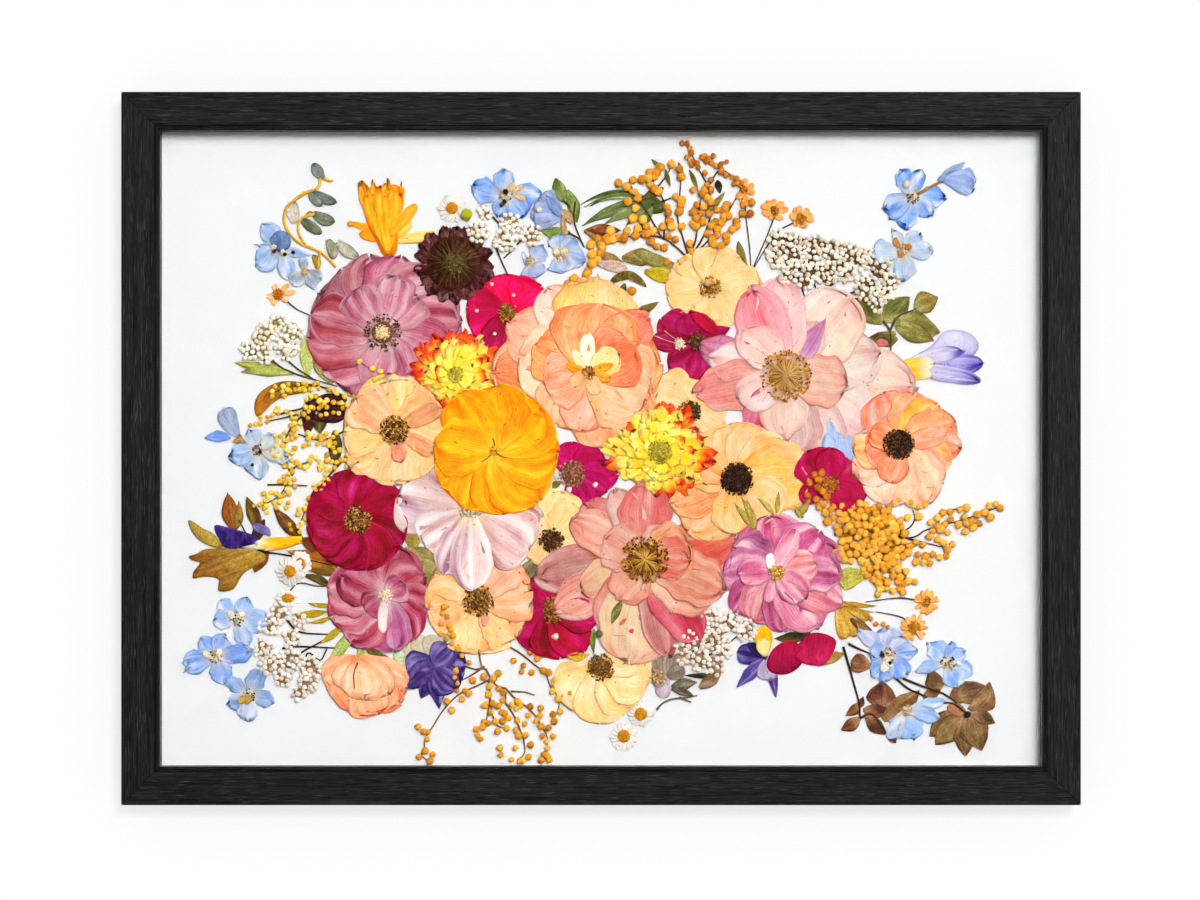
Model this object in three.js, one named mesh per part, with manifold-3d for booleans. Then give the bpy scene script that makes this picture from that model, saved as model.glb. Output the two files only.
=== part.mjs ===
// A pressed flower frame: a black wooden picture frame that hangs on a wall, with a bouquet of pressed
// flowers between its glass and a white mount board.
// Millimetres, +Z up. The front faces -Y and the wall is the plane y = 0. The origin is the point of the
// wall right behind the middle notch of the hanger.
import * as THREE from "three";
import { mergeVertices } from "three/addons/utils/BufferGeometryUtils.js";
import Module from "manifold-3d";

const wasm = await Module();
wasm.setup();

// ---- Driving dimensions ----
const frameWidth = 600;
const frameHeight = 446;
const frameDepth = 32;
const gap = 0.3; // between pieces that touch

const faceWidth = 21; // flat front of a rail
const beadWidth = 2; // raised bead inside the face
const lipWidth = 23.8; // from the outer edge to the end of the lip that holds the glass
const lipFront = 3.5; // depth of the lip's front below the face
const lipBack = 7; // depth of the lip's back, where the glass rests
const rabbetWidth = 20.2; // from the outer edge to the rabbet's wall
const grooveDepth = 1.2;

const glassThickness = 2;
const spacerDepth = 12.4; // holds the glass off the mount board
const spacerWidth = 3;
const boardThickness = 2;
const panelThickness = 3;
const hangerDrop = 190; // from the wall nail down to the middle of the frame

// Where things lie on the board is told on a layout grid, whose squares count right and down.
const gridSquare = 0.625;
const gridMiddle = [601, 448.5];

const petalThickness = 0.5;
const petalStagger = 0.25; // how much higher every second petal lies
const heartThickness = 0.9;
const levelPitch = heartThickness + gap; // from one layer of specimens to the next
const stemWidth = 2.6; // in grid squares

const middleZ = -hangerDrop;
const glassFront = -frameDepth + lipBack + gap;
const glassBack = glassFront + glassThickness;
const spacerBack = glassBack + gap + spacerDepth;
const boardFront = spacerBack + gap;
const boardBack = boardFront + boardThickness;
const panelFront = boardBack + gap;
const panelBack = panelFront + panelThickness;

// ---- Making solids ----
const group = new THREE.Group();

function addPiece(name, geometry, colour, roughness, metalness = 0) {
  const mesh = new THREE.Mesh(geometry, new THREE.MeshStandardMaterial({ color: colour, roughness, metalness }));
  mesh.name = name;
  group.add(mesh);
  return mesh;
}

function toSolid(geometry) {
  geometry.deleteAttribute("normal");
  geometry.deleteAttribute("uv");
  const merged = mergeVertices(geometry, 1e-4);
  return new wasm.Manifold(
    new wasm.Mesh({
      numProp: 3,
      vertProperties: merged.attributes.position.array,
      triVerts: new Uint32Array(merged.index.array),
    }),
  );
}

function toGeometry(solid) {
  const mesh = solid.getMesh();
  const geometry = new THREE.BufferGeometry();
  geometry.setAttribute("position", new THREE.BufferAttribute(new Float32Array(mesh.vertProperties), 3));
  geometry.setIndex(new THREE.BufferAttribute(new Uint32Array(mesh.triVerts), 1));
  return geometry;
}

function joined(solids) {
  return solids.reduce((whole, solid) => whole.add(solid)).asOriginal().simplify(0.1);
}

// A plate whose outline stands in the XZ plane, from y = back towards the front by its thickness.
function plate(outline, back, thickness) {
  const shape = new THREE.Shape(outline.map(([x, z]) => new THREE.Vector2(x, z)));
  const geometry = new THREE.ExtrudeGeometry(shape, { depth: thickness, bevelEnabled: false });
  geometry.rotateX(Math.PI / 2); // the outline's up goes to +Z, and the depth to -Y
  geometry.translate(0, back, 0);
  return geometry;
}

function block(width, height, front, back, x = 0, z = middleZ) {
  const geometry = new THREE.BoxGeometry(width, back - front, height);
  geometry.translate(x, (front + back) / 2, z);
  return geometry;
}

// ---- The frame's rails ----
// Section of a rail: how far in from the outer edge, and how deep below the front face.
const railSection = [
  [0, 0.8],
  [0.8, 0],
  [faceWidth, 0],
  [faceWidth, grooveDepth],
  [faceWidth + 0.4, 0.7],
  [faceWidth + beadWidth / 2, 0.5],
  [faceWidth + beadWidth, 1.4],
  [faceWidth + beadWidth, lipFront],
  [lipWidth, lipFront],
  [lipWidth, lipBack],
  [rabbetWidth, lipBack],
  [rabbetWidth, frameDepth],
  [0, frameDepth],
];

// A rail runs along a side of the given length, and both ends are mitred.
function railGeometry(length) {
  const shape = new THREE.Shape(railSection.map(([inward, depth]) => new THREE.Vector2(inward, depth)));
  const geometry = new THREE.ExtrudeGeometry(shape, { depth: 1, bevelEnabled: false });
  const position = geometry.getAttribute("position");
  for (let i = 0; i < position.count; i += 1) {
    const inward = position.getX(i);
    const depth = position.getY(i);
    const end = position.getZ(i) > 0.5 ? -1 : 1;
    position.setXYZ(i, end * (length / 2 - inward - gap / 2), depth - frameDepth, inward);
  }
  return geometry;
}

function addRail(name, length, distance, turn) {
  const geometry = railGeometry(length);
  geometry.translate(0, 0, -distance);
  geometry.rotateY(turn);
  geometry.translate(0, 0, middleZ);
  addPiece(name, geometry, 0x262626, 0.5);
}

addRail("rail_bottom", frameWidth, frameHeight / 2, 0);
addRail("rail_top", frameWidth, frameHeight / 2, Math.PI);
addRail("rail_left", frameHeight, frameWidth / 2, Math.PI / 2);
addRail("rail_right", frameHeight, frameWidth / 2, -Math.PI / 2);

// ---- Glass, spacers, board and back ----
const insideWidth = frameWidth - 2 * (rabbetWidth + gap);
const insideHeight = frameHeight - 2 * (rabbetWidth + gap);

addPiece("glass_pane", block(insideWidth, insideHeight, glassFront, glassBack), 0xe8f0ee, 0.05);
const spacerFront = glassBack + gap;
const spacerZ = insideHeight / 2 - spacerWidth / 2;
const spacerX = insideWidth / 2 - spacerWidth / 2;
const sideSpacerHeight = insideHeight - 2 * (spacerWidth + gap);
addPiece("spacer_top", block(insideWidth, spacerWidth, spacerFront, spacerBack, 0, middleZ + spacerZ), 0x1c1c1c, 0.6);
addPiece("spacer_bottom", block(insideWidth, spacerWidth, spacerFront, spacerBack, 0, middleZ - spacerZ), 0x1c1c1c, 0.6);
addPiece("spacer_left", block(spacerWidth, sideSpacerHeight, spacerFront, spacerBack, -spacerX), 0x1c1c1c, 0.6);
addPiece("spacer_right", block(spacerWidth, sideSpacerHeight, spacerFront, spacerBack, spacerX), 0x1c1c1c, 0.6);
addPiece("mount_board", block(insideWidth, insideHeight, boardFront, boardBack), 0xf7f6f4, 0.9);
addPiece("back_panel", block(insideWidth, insideHeight, panelFront, panelBack), 0x8a6a48, 0.8);

// ---- Sawtooth hanger: a toothed steel strip on two feet, on the back panel ----
const hangerWidth = 60;
const hangerHeight = 9;
const hangerSteel = 1;
const hangerFront = panelBack + gap;
const hangerStand = 1.6; // how far the strip stands off the panel, for the nail's head
const toothCount = 9;
const toothDepth = 2.5;
const toothPitch = 4;

function hangerGeometry() {
  const outline = [
    [-hangerWidth / 2, hangerHeight],
    [-hangerWidth / 2, -toothDepth],
  ];
  for (let tooth = 0; tooth < toothCount; tooth += 1) {
    const x = (tooth - (toothCount - 1) / 2) * toothPitch;
    outline.push([x - toothPitch / 2, -toothDepth], [x, 0]);
  }
  outline.push([(toothCount * toothPitch) / 2, -toothDepth], [hangerWidth / 2, -toothDepth]);
  outline.push([hangerWidth / 2, hangerHeight]);
  const stripFront = hangerFront + hangerStand;
  const strip = toSolid(plate(outline, stripFront + hangerSteel, hangerSteel));
  const footWidth = 8;
  const feet = [-1, 1].map((side) =>
    toSolid(
      block(
        footWidth,
        hangerHeight + toothDepth,
        hangerFront,
        stripFront + hangerSteel / 2,
        (side * (hangerWidth - footWidth)) / 2,
        (hangerHeight - toothDepth) / 2,
      ),
    ),
  );
  return toGeometry(joined([strip, ...feet]));
}

addPiece("hanger", hangerGeometry(), 0xb8b8b4, 0.4, 1);

// ---- Shapes of petals and leaves ----
// Each shape tells where along its length it is widest, how wide its base is beside that, and how
// full its tip is: 2 is an ellipse, more is squarer and less is pointed.
const round = { widest: 0.62, base: 0.25, full: 2.3 };
const fan = { widest: 0.78, base: 0.15, full: 2.8 };
const spoon = { widest: 0.66, base: 0.18, full: 2 };
const tongue = { widest: 0.55, base: 0.6, full: 2.6 };
const point = { widest: 0.5, base: 0.25, full: 1.3 };
const lance = { widest: 0.42, base: 0.2, full: 1.2 };
const pod = { widest: 0.5, base: 0.45, full: 2 };

function place([column, row]) {
  return [(column - gridMiddle[0]) * gridSquare, (gridMiddle[1] - row) * gridSquare + middleZ];
}

function halfWidth(shape, t) {
  if (t >= shape.widest) {
    const s = (t - shape.widest) / (1 - shape.widest);
    return Math.max(0, 1 - s ** shape.full) ** (1 / shape.full);
  }
  const s = t / shape.widest;
  return shape.base + (1 - shape.base) * Math.sin((s * Math.PI) / 2);
}

// The outline of a petal or leaf from its base to its tip.
function bladeOutline(base, tip, width, shape) {
  const [x0, z0] = place(base);
  const [x1, z1] = place(tip);
  const length = Math.hypot(x1 - x0, z1 - z0);
  const along = [(x1 - x0) / length, (z1 - z0) / length];
  const steps = width > 40 ? [0, shape.widest, (1 + shape.widest) / 2] : [0, shape.widest];
  const half = (width * gridSquare) / 2;
  const side = (sign) =>
    steps.map((t) => {
      const w = sign * half * halfWidth(shape, t);
      return [x0 + along[0] * length * t - along[1] * w, z0 + along[1] * length * t + along[0] * w];
    });
  return [...side(-1), [x1, z1], ...side(1).reverse()];
}

function discOutline([column, row], radiusX, radiusZ = radiusX, sides = 8) {
  const [x, z] = place([column, row]);
  return Array.from({ length: sides }, (_, i) => {
    const a = ((i + 0.5) / sides) * 2 * Math.PI;
    return [x + radiusX * gridSquare * Math.cos(a), z + radiusZ * gridSquare * Math.sin(a)];
  });
}

// A many-petalled head: an ellipse whose rim is cut in rounded lobes.
function rosetteOutline([column, row], radiusX, radiusZ, lobes) {
  const [x, z] = place([column, row]);
  return Array.from({ length: lobes * 2 }, (_, i) => {
    const a = (i / (lobes * 2)) * 2 * Math.PI;
    const reach = (i % 2 === 0 ? 1 : 0.86) * gridSquare;
    return [x + radiusX * reach * Math.cos(a), z + radiusZ * reach * Math.sin(a)];
  });
}

// A stem of even width along a list of points.
function stemOutline(points) {
  const placed = points.map(place);
  const sides = placed.map(([x, z], i) => {
    const [xa, za] = placed[Math.max(0, i - 1)];
    const [xb, zb] = placed[Math.min(placed.length - 1, i + 1)];
    const length = Math.hypot(xb - xa, zb - za);
    const half = (stemWidth * gridSquare) / 2;
    const across = [(-(zb - za) / length) * half, ((xb - xa) / length) * half];
    return [[x + across[0], z + across[1]], [x - across[0], z - across[1]]];
  });
  return [...sides.map(([left]) => left), ...sides.map(([, right]) => right).reverse()];
}

// ---- The specimens, from the ones next to the board to the ones on top ----
// at: middle of the blossom. petals: tip column, tip row, width, shape. blades: base, tip, width, shape.
// heads: column, row, radius. stems: lists of points. disc: radius of the blossom's heart.
const specimens = [
  {
    name: "mimosa_left",
    colour: 0xe8b83c,
    stems: [
      [[343, 396], [325, 388], [305, 384], [286, 386], [270, 393]],
      [[343, 396], [310, 406], [288, 412], [256, 423]],
      [[310, 406], [292, 424], [283, 440], [284, 460], [287, 476], [278, 495], [260, 506]],
      [[343, 396], [345, 430], [344, 455], [325, 478], [310, 494], [298, 524]],
      [[345, 430], [320, 440], [296, 434]],
      [[344, 455], [318, 458], [290, 470]],
    ],
    heads: [
      [288, 388, 7], [338, 404, 9], [284, 416, 7], [258, 424, 6], [282, 434, 7], [282, 453, 8], [290, 480, 8],
      [268, 501, 8], [316, 440, 8], [336, 458, 10], [318, 474, 8], [312, 496, 8], [298, 522, 8],
    ],
    blades: [
      [312, 386, 256, 418, 16, lance],
      [340, 400, 304, 432, 20, pod],
    ],
  },
  {
    name: "oak_leaves",
    colour: 0x9a7420,
    blades: [
      [272, 552, 184, 557, 22, point],
      [268, 552, 190, 578, 22, point],
      [264, 552, 218, 592, 24, point],
      [262, 548, 187, 521, 20, point],
      [242, 552, 225, 493, 18, point],
      [246, 550, 236, 501, 12, lance],
      [272, 550, 244, 497, 14, lance],
      [300, 552, 270, 508, 14, lance],
      [262, 554, 252, 573, 14, point],
      [252, 556, 300, 542, 16, point],
      [254, 554, 337, 572, 18, point],
    ],
  },
  {
    name: "rice_flower_left",
    colour: 0xe8dccb,
    stems: [
      [[336, 386], [312, 379], [290, 372], [275, 364], [262, 350]],
      [[290, 372], [280, 355], [278, 340]],
      [[275, 364], [263, 357], [246, 350]],
    ],
    heads: [[276, 324, 10], [290, 331, 11], [263, 333, 11], [286, 346, 13], [258, 346, 12], [247, 350, 9], [265, 356, 7]],
    blades: [
      [300, 374, 232, 362, 11, point],
      [300, 374, 239, 371, 13, point],
      [308, 378, 301, 335, 14, point],
      [332, 382, 313, 345, 20, point],
    ],
  },
  {
    name: "pod_sprig",
    colour: 0x7f8474,
    stems: [
      [[306, 190], [290, 200], [282, 221], [293, 238], [317, 250], [334, 266]],
      [[306, 190], [315, 186], [318, 176]],
      [[293, 238], [296, 224], [303, 215], [313, 212]],
      [[335, 250], [322, 249], [317, 254], [316, 268]],
    ],
    blades: [
      [321, 177, 311, 161, 12, pod],
      [306, 191, 335, 201, 11, pod],
      [306, 190, 320, 204, 9, pod],
      [292, 224, 291, 199, 14, pod],
      [301, 216, 333, 220, 13, pod],
      [299, 217, 320, 232, 11, pod],
      [326, 238, 332, 258, 12, pod],
      [334, 246, 357, 256, 13, pod],
    ],
  },
  {
    name: "mimosa_top",
    colour: 0xe0902a,
    stems: [
      [[690, 258], [662, 236], [640, 234], [618, 237], [600, 250], [588, 270]],
      [[662, 236], [664, 206], [650, 182], [661, 166]],
      [[664, 206], [640, 200], [629, 180]],
      [[690, 258], [678, 215], [682, 176]],
      [[690, 258], [700, 205], [708, 180], [698, 160], [686, 142]],
      [[708, 180], [722, 166], [742, 181]],
      [[690, 258], [712, 210], [742, 205]],
      [[690, 258], [728, 236]],
    ],
    heads: [
      [634, 182, 8], [654, 170, 7], [637, 206, 7], [668, 226, 8], [634, 230, 7], [668, 206, 6], [690, 150, 7],
      [706, 162, 8], [730, 174, 8], [702, 208, 14], [724, 212, 14], [712, 228, 14], [732, 226, 10], [680, 254, 10],
    ],
  },
  {
    name: "yarrow_right",
    colour: 0xe8dccb,
    stems: [
      [[820, 308], [815, 278], [812, 262], [790, 246]],
      [[815, 278], [838, 268], [862, 262]],
      [[815, 278], [850, 290], [872, 282]],
    ],
    heads: [
      [782, 248, 15], [802, 250, 17], [824, 252, 15], [845, 256, 15], [866, 262, 15], [884, 274, 14],
      [882, 296, 13], [868, 286, 14], [788, 266, 13], [812, 270, 15],
    ],
  },
  {
    name: "leaf_sprig_right",
    colour: 0x8a8a4a,
    stems: [
      [[885, 368], [891, 360], [893, 345], [892, 330], [885, 318]],
      [[892, 330], [900, 316], [918, 308]],
    ],
    blades: [
      [914, 311, 940, 296, 17, point],
      [886, 322, 912, 296, 18, point],
      [892, 320, 942, 332, 22, point],
      [892, 326, 936, 340, 16, point],
      [896, 331, 864, 342, 10, point],
      [888, 324, 857, 297, 14, point],
      [893, 342, 877, 345, 8, point],
    ],
  },
  {
    name: "mimosa_right",
    colour: 0xe8a020,
    stems: [
      [[836, 535], [870, 532], [905, 538], [940, 528], [966, 520], [1003, 507]],
      [[905, 538], [946, 548]],
      [[905, 538], [916, 506]],
      [[940, 528], [945, 513], [969, 508]],
    ],
    heads: [
      [852, 526, 16], [874, 519, 15], [896, 511, 13], [912, 508, 10], [846, 548, 14], [866, 545, 16], [890, 542, 15],
      [916, 550, 12], [942, 546, 10], [950, 524, 12], [972, 524, 8], [996, 510, 8], [884, 564, 15], [894, 583, 14],
      [908, 584, 8],
    ],
  },
  {
    name: "mimosa_low",
    colour: 0xd88a18,
    stems: [
      [[478, 653], [484, 668], [498, 688], [525, 708], [542, 730], [546, 760]],
      [[484, 668], [455, 685]],
      [[498, 688], [475, 688], [450, 703], [432, 728], [422, 762]],
      [[498, 688], [489, 705], [485, 738]],
      [[525, 708], [512, 712], [523, 742], [518, 761]],
      [[498, 688], [500, 643]],
      [[500, 660], [535, 667], [550, 688], [559, 707], [555, 722]],
    ],
    heads: [
      [461, 695, 8], [449, 708, 6], [424, 750, 8], [485, 726, 8], [510, 720, 8], [516, 703, 8], [534, 716, 8],
      [546, 734, 8], [545, 758, 8], [516, 756, 8], [560, 702, 7], [540, 668, 8],
    ],
  },
  {
    name: "yarrow_low_left",
    colour: 0xeadfd4,
    stems: [
      [[345, 650], [325, 650], [305, 655], [285, 668]],
      [[345, 636], [325, 634], [297, 633], [282, 620]],
      [[325, 634], [325, 650]],
      [[305, 655], [318, 662], [312, 678]],
    ],
    heads: [
      [278, 616, 12], [296, 622, 8], [268, 627, 12], [262, 650, 12], [288, 640, 11], [272, 662, 15],
      [290, 665, 15], [280, 678, 11], [310, 672, 13], [306, 686, 12],
    ],
  },
  {
    name: "yarrow_low_right",
    colour: 0xeadfd4,
    heads: [
      [712, 619, 10], [730, 624, 13], [715, 636, 14], [747, 631, 12], [722, 650, 13], [696, 643, 13], [687, 655, 14],
      [702, 661, 12], [715, 664, 12],
    ],
  },
  {
    name: "brown_leaf_spray",
    colour: 0x8a6548,
    stems: [
      [[846, 642], [850, 665], [857, 690], [862, 720]],
      [[850, 652], [872, 655], [895, 677], [925, 697], [968, 712]],
    ],
    blades: [
      [863, 705, 847, 718, 9, lance],
      [863, 716, 843, 732, 11, point],
      [874, 668, 850, 662, 16, round],
      [860, 714, 890, 682, 22, point],
      [862, 712, 893, 712, 12, point],
      [862, 716, 888, 736, 12, point],
      [885, 722, 926, 692, 18, point],
      [935, 702, 932, 671, 16, point],
      [965, 710, 960, 684, 20, point],
      [958, 704, 988, 688, 20, point],
      [970, 714, 990, 683, 18, point],
      [968, 710, 932, 738, 20, point],
      [967, 714, 938, 746, 20, point],
      [967, 716, 968, 758, 18, point],
      [970, 714, 985, 752, 24, point],
      [970, 712, 998, 725, 12, point],
    ],
  },
  {
    name: "delphinium_top_left",
    colour: 0x8fb0e0,
    at: [278, 247],
    petals: [[260, 223, 17, spoon], [254, 243, 9, point], [256, 265, 20, spoon], [286, 277, 15, spoon], [306, 252, 10, point]],
    disc: 12,
  },
  {
    name: "delphinium_top",
    colour: 0xa9c4ea,
    at: [505, 193],
    petals: [[472, 184, 20, spoon], [502, 168, 17, spoon], [541, 192, 18, spoon], [525, 214, 24, spoon], [498, 214, 16, spoon]],
    disc: 8,
  },
  {
    name: "delphinium_top_right",
    colour: 0xa0bff0,
    at: [915, 195],
    petals: [
      [903, 168, 16, spoon], [923, 168, 14, spoon], [947, 196, 17, spoon], [934, 213, 15, spoon], [908, 227, 17, spoon],
      [886, 206, 17, spoon], [892, 217, 12, spoon],
    ],
    disc: 8,
    stems: [[[920, 192], [936, 183], [950, 179]]],
    blades: [
      [946, 179, 978, 180, 26, fan],
      [944, 180, 968, 160, 12, point],
    ],
  },
  {
    name: "delphinium_low_left",
    colour: 0xb4cdec,
    at: [235, 620],
    petals: [
      [217, 602, 14, spoon], [245, 598, 16, spoon], [211, 622, 16, spoon], [265, 615, 10, spoon], [263, 626, 20, spoon],
      [246, 645, 14, spoon],
    ],
    disc: 8,
  },
  {
    name: "delphinium_low_right",
    colour: 0x9bb8ec,
    at: [890, 657],
    petals: [
      [888, 630, 24, round], [860, 632, 12, spoon], [908, 640, 18, spoon], [919, 652, 14, spoon], [872, 655, 20, spoon],
      [876, 678, 14, spoon], [908, 676, 18, spoon], [886, 684, 12, spoon],
    ],
    disc: 8,
  },
  {
    name: "freesia",
    colour: 0xb9aedc,
    blades: [
      [889, 368, 982, 348, 30, fan],
      [889, 370, 985, 367, 22, lance],
      [889, 371, 978, 382, 12, lance],
    ],
  },
  {
    name: "iris_left",
    colour: 0x5a3f86,
    stems: [[[306, 540], [280, 544], [256, 548]]],
    blades: [
      [302, 540, 211, 524, 18, point],
      [300, 541, 218, 547, 22, point],
      [300, 540, 250, 529, 12, point],
    ],
  },
  {
    name: "iris_low_right",
    colour: 0x5a4890,
    at: [766, 658],
    petals: [[766, 628, 18, round], [738, 654, 24, point], [738, 689, 16, point], [777, 699, 14, point], [772, 680, 20, round]],
  },
  {
    name: "daffodil",
    colour: 0xffb414,
    blades: [
      [388, 256, 379, 183, 42, fan],
      [385, 244, 347, 221, 8, tongue],
      [388, 248, 358, 233, 12, spoon],
      [390, 245, 415, 203, 14, spoon],
      [391, 232, 433, 232, 11, tongue],
    ],
  },
  {
    name: "cream_rose_top",
    colour: 0xfdeebc,
    at: [711, 286],
    petals: [
      [672, 268, 28, fan], [690, 250, 36, fan], [713, 246, 34, fan], [742, 254, 38, fan], [762, 284, 40, fan],
      [736, 323, 36, fan], [708, 322, 32, fan], [682, 314, 30, fan], [666, 295, 32, fan],
    ],
    disc: 11,
  },
  {
    name: "burgundy_rose",
    colour: 0x8c0a35,
    at: [697, 342],
    petals: [
      [660, 318, 34, round], [690, 308, 34, round], [651, 341, 24, round], [731, 327, 22, point], [737, 370, 30, round],
      [712, 385, 30, round], [682, 379, 36, round], [668, 366, 20, round],
    ],
    disc: 10,
  },
  {
    name: "cream_rose_hidden",
    colour: 0xfbe8c0,
    at: [690, 408],
    petals: [[662, 374, 34, round], [702, 378, 36, round], [730, 410, 34, round], [724, 430, 28, round], [670, 422, 28, round]],
    disc: 12,
  },
  {
    name: "magenta_rose_top",
    colour: 0xb0083f,
    at: [507, 312],
    petals: [
      [503, 273, 34, round], [541, 285, 34, round], [478, 283, 34, round], [464, 306, 40, round], [472, 336, 38, round],
      [491, 355, 30, round],
    ],
    disc: 9,
  },
  {
    name: "magenta_rose_middle",
    colour: 0xa8033f,
    at: [571, 474],
    petals: [
      [572, 441, 32, round], [603, 450, 32, round], [618, 474, 30, round], [608, 492, 28, round], [584, 509, 28, round],
      [556, 457, 24, round],
    ],
    disc: 14,
  },
  {
    name: "mauve_rose",
    colour: 0xb96a88,
    at: [381, 332],
    petals: [
      [322, 286, 56, round], [345, 264, 52, round], [376, 254, 52, round], [408, 257, 50, round], [434, 274, 52, round],
      [452, 297, 50, round], [459, 324, 40, round], [404, 379, 44, round], [352, 393, 50, round], [316, 364, 54, round],
      [305, 330, 52, round],
    ],
    disc: 20,
  },
  {
    name: "strawflower",
    colour: 0x64302c,
    rosette: [452, 262, 43, 42, 20],
    at: [452, 262],
    disc: 27,
  },
  {
    name: "yellow_mum_left",
    colour: 0xf5c824,
    rosette: [455, 371, 47, 43, 20],
    at: [455, 375],
    disc: 12,
  },
  {
    name: "peach_rosebud",
    colour: 0xfbb48c,
    at: [366, 688],
    petals: [[324, 684, 44, round], [348, 659, 40, fan], [386, 668, 36, round], [405, 696, 44, round], [382, 714, 40, fan], [345, 706, 30, fan]],
  },
  {
    name: "iris_low",
    colour: 0x57437f,
    at: [432, 672],
    petals: [[405, 692, 18, point], [440, 708, 20, point], [462, 668, 30, round], [452, 688, 22, round], [428, 636, 34, round], [406, 650, 26, round]],
  },
  {
    name: "mauve_rose_low",
    colour: 0xb9628c,
    at: [384, 597],
    petals: [
      [348, 568, 40, round], [370, 558, 38, round], [400, 547, 46, round], [424, 576, 48, round], [430, 610, 42, round],
      [414, 641, 44, round], [392, 653, 40, round], [348, 644, 44, round], [328, 620, 46, round], [326, 590, 46, round],
    ],
  },
  {
    name: "crimson_rose",
    colour: 0xa80838,
    at: [356, 520],
    petals: [
      [329, 475, 58, round], [372, 471, 52, round], [405, 500, 50, round], [402, 546, 52, round], [365, 571, 54, round],
      [323, 561, 52, round], [305, 525, 56, round],
    ],
    disc: 14,
  },
  {
    name: "peach_rose",
    colour: 0xfbc79a,
    at: [588, 370],
    petals: [
      [661, 362, 62, round], [640, 432, 60, round], [605, 446, 52, round], [492, 372, 62, round], [507, 322, 56, round],
      [546, 286, 52, round], [597, 275, 72, round], [650, 317, 50, round], [557, 426, 60, round],
    ],
    disc: 26,
  },
  {
    name: "pink_peony",
    colour: 0xf3b2b0,
    at: [787, 375],
    petals: [
      [917, 385, 62, round], [886, 348, 54, round], [872, 430, 62, round], [835, 458, 50, round], [800, 458, 46, round],
      [853, 293, 64, round], [820, 314, 40, round], [778, 276, 44, round], [751, 287, 46, round], [701, 345, 34, round],
      [709, 359, 32, round], [697, 393, 44, round], [752, 432, 36, round],
    ],
    disc: 24,
  },
  {
    name: "cream_cosmos_small",
    colour: 0xf8e2b0,
    at: [551, 541],
    petals: [[560, 492, 40, round], [580, 508, 38, round], [522, 530, 36, round], [530, 562, 38, round], [571, 567, 38, round]],
    disc: 13,
  },
  {
    name: "crimson_rose_low",
    colour: 0xa80540,
    at: [552, 612],
    petals: [[535, 576, 26, round], [513, 610, 48, round], [520, 647, 46, round], [560, 661, 50, round], [585, 654, 38, round], [598, 620, 32, round]],
    disc: 10,
  },
  {
    name: "cream_rose_low",
    colour: 0xfadc9c,
    at: [601, 669],
    petals: [[552, 686, 38, round], [574, 714, 52, round], [602, 726, 48, round], [637, 708, 48, round], [652, 680, 50, round], [642, 653, 42, round]],
    disc: 14,
  },
  {
    name: "peach_cosmos_low",
    colour: 0xfbcf98,
    at: [477, 602],
    petals: [[434, 573, 34, round], [426, 610, 50, round], [478, 655, 54, round], [516, 640, 46, round], [531, 592, 52, round], [516, 563, 34, round]],
    disc: 16,
  },
  {
    name: "pale_clematis",
    colour: 0xe8d6d6,
    at: [470, 512],
    petals: [[398, 496, 46, round], [422, 549, 44, round], [443, 577, 34, round], [472, 591, 52, round], [531, 553, 48, round], [542, 515, 30, round]],
    disc: 9,
  },
  {
    name: "peach_cosmos",
    colour: 0xfbd08e,
    at: [393, 430],
    petals: [
      [385, 377, 50, round], [441, 407, 50, round], [435, 463, 46, round], [393, 484, 50, round], [350, 467, 48, round],
      [342, 432, 48, round], [353, 397, 42, round],
    ],
    disc: 15,
  },
  {
    name: "pink_rose",
    colour: 0xf4c0b0,
    at: [645, 560],
    petals: [
      [537, 577, 44, round], [555, 612, 42, round], [584, 505, 44, round], [615, 489, 34, round], [648, 481, 46, round],
      [610, 634, 46, round], [630, 663, 64, round], [668, 656, 34, round], [700, 641, 40, round], [713, 604, 50, round],
      [731, 570, 50, round], [737, 537, 46, round], [690, 510, 46, round],
    ],
    disc: 24,
  },
  {
    name: "cream_poppy",
    colour: 0xfde09a,
    at: [738, 479],
    petals: [
      [688, 534, 54, round], [700, 448, 48, round], [726, 422, 60, round], [762, 425, 44, round], [792, 446, 52, round],
      [810, 476, 62, round], [778, 520, 52, round], [735, 536, 44, round],
    ],
    disc: 17,
  },
  {
    name: "magenta_rose_right",
    colour: 0xa00535,
    at: [831, 485],
    petals: [[807, 450, 38, round], [834, 446, 34, round], [858, 461, 32, round], [870, 493, 36, round], [853, 508, 34, round], [800, 502, 28, round]],
    disc: 12,
  },
  {
    name: "peach_poppy",
    colour: 0xfbb98a,
    at: [901, 444],
    petals: [
      [884, 391, 50, round], [919, 392, 42, round], [942, 403, 40, round], [959, 424, 44, round], [964, 448, 36, round],
      [953, 466, 36, round], [945, 484, 36, round], [930, 504, 44, round], [886, 505, 50, round], [857, 478, 42, round],
      [853, 448, 40, round],
    ],
    disc: 15,
  },
  {
    name: "yellow_mum_right",
    colour: 0xf3c32a,
    rosette: [660, 452, 58, 51, 16],
    at: [660, 455],
    disc: 17,
  },
  {
    name: "orange_pansy",
    colour: 0xffae04,
    at: [493, 451],
    petals: [
      [438, 487, 54, round], [464, 510, 50, round], [501, 515, 46, round], [540, 502, 60, round], [559, 452, 64, round],
      [542, 403, 62, round], [496, 385, 62, round], [454, 395, 52, round], [432, 445, 52, round],
    ],
  },
  {
    name: "mauve_peony",
    colour: 0xb9669a,
    at: [777, 572],
    petals: [
      [768, 515, 60, round], [822, 528, 50, round], [732, 546, 48, round], [722, 577, 46, round], [733, 613, 38, round],
      [755, 624, 40, round], [787, 635, 40, round], [822, 628, 48, round], [845, 603, 40, round], [845, 572, 42, round],
    ],
  },
];

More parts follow.
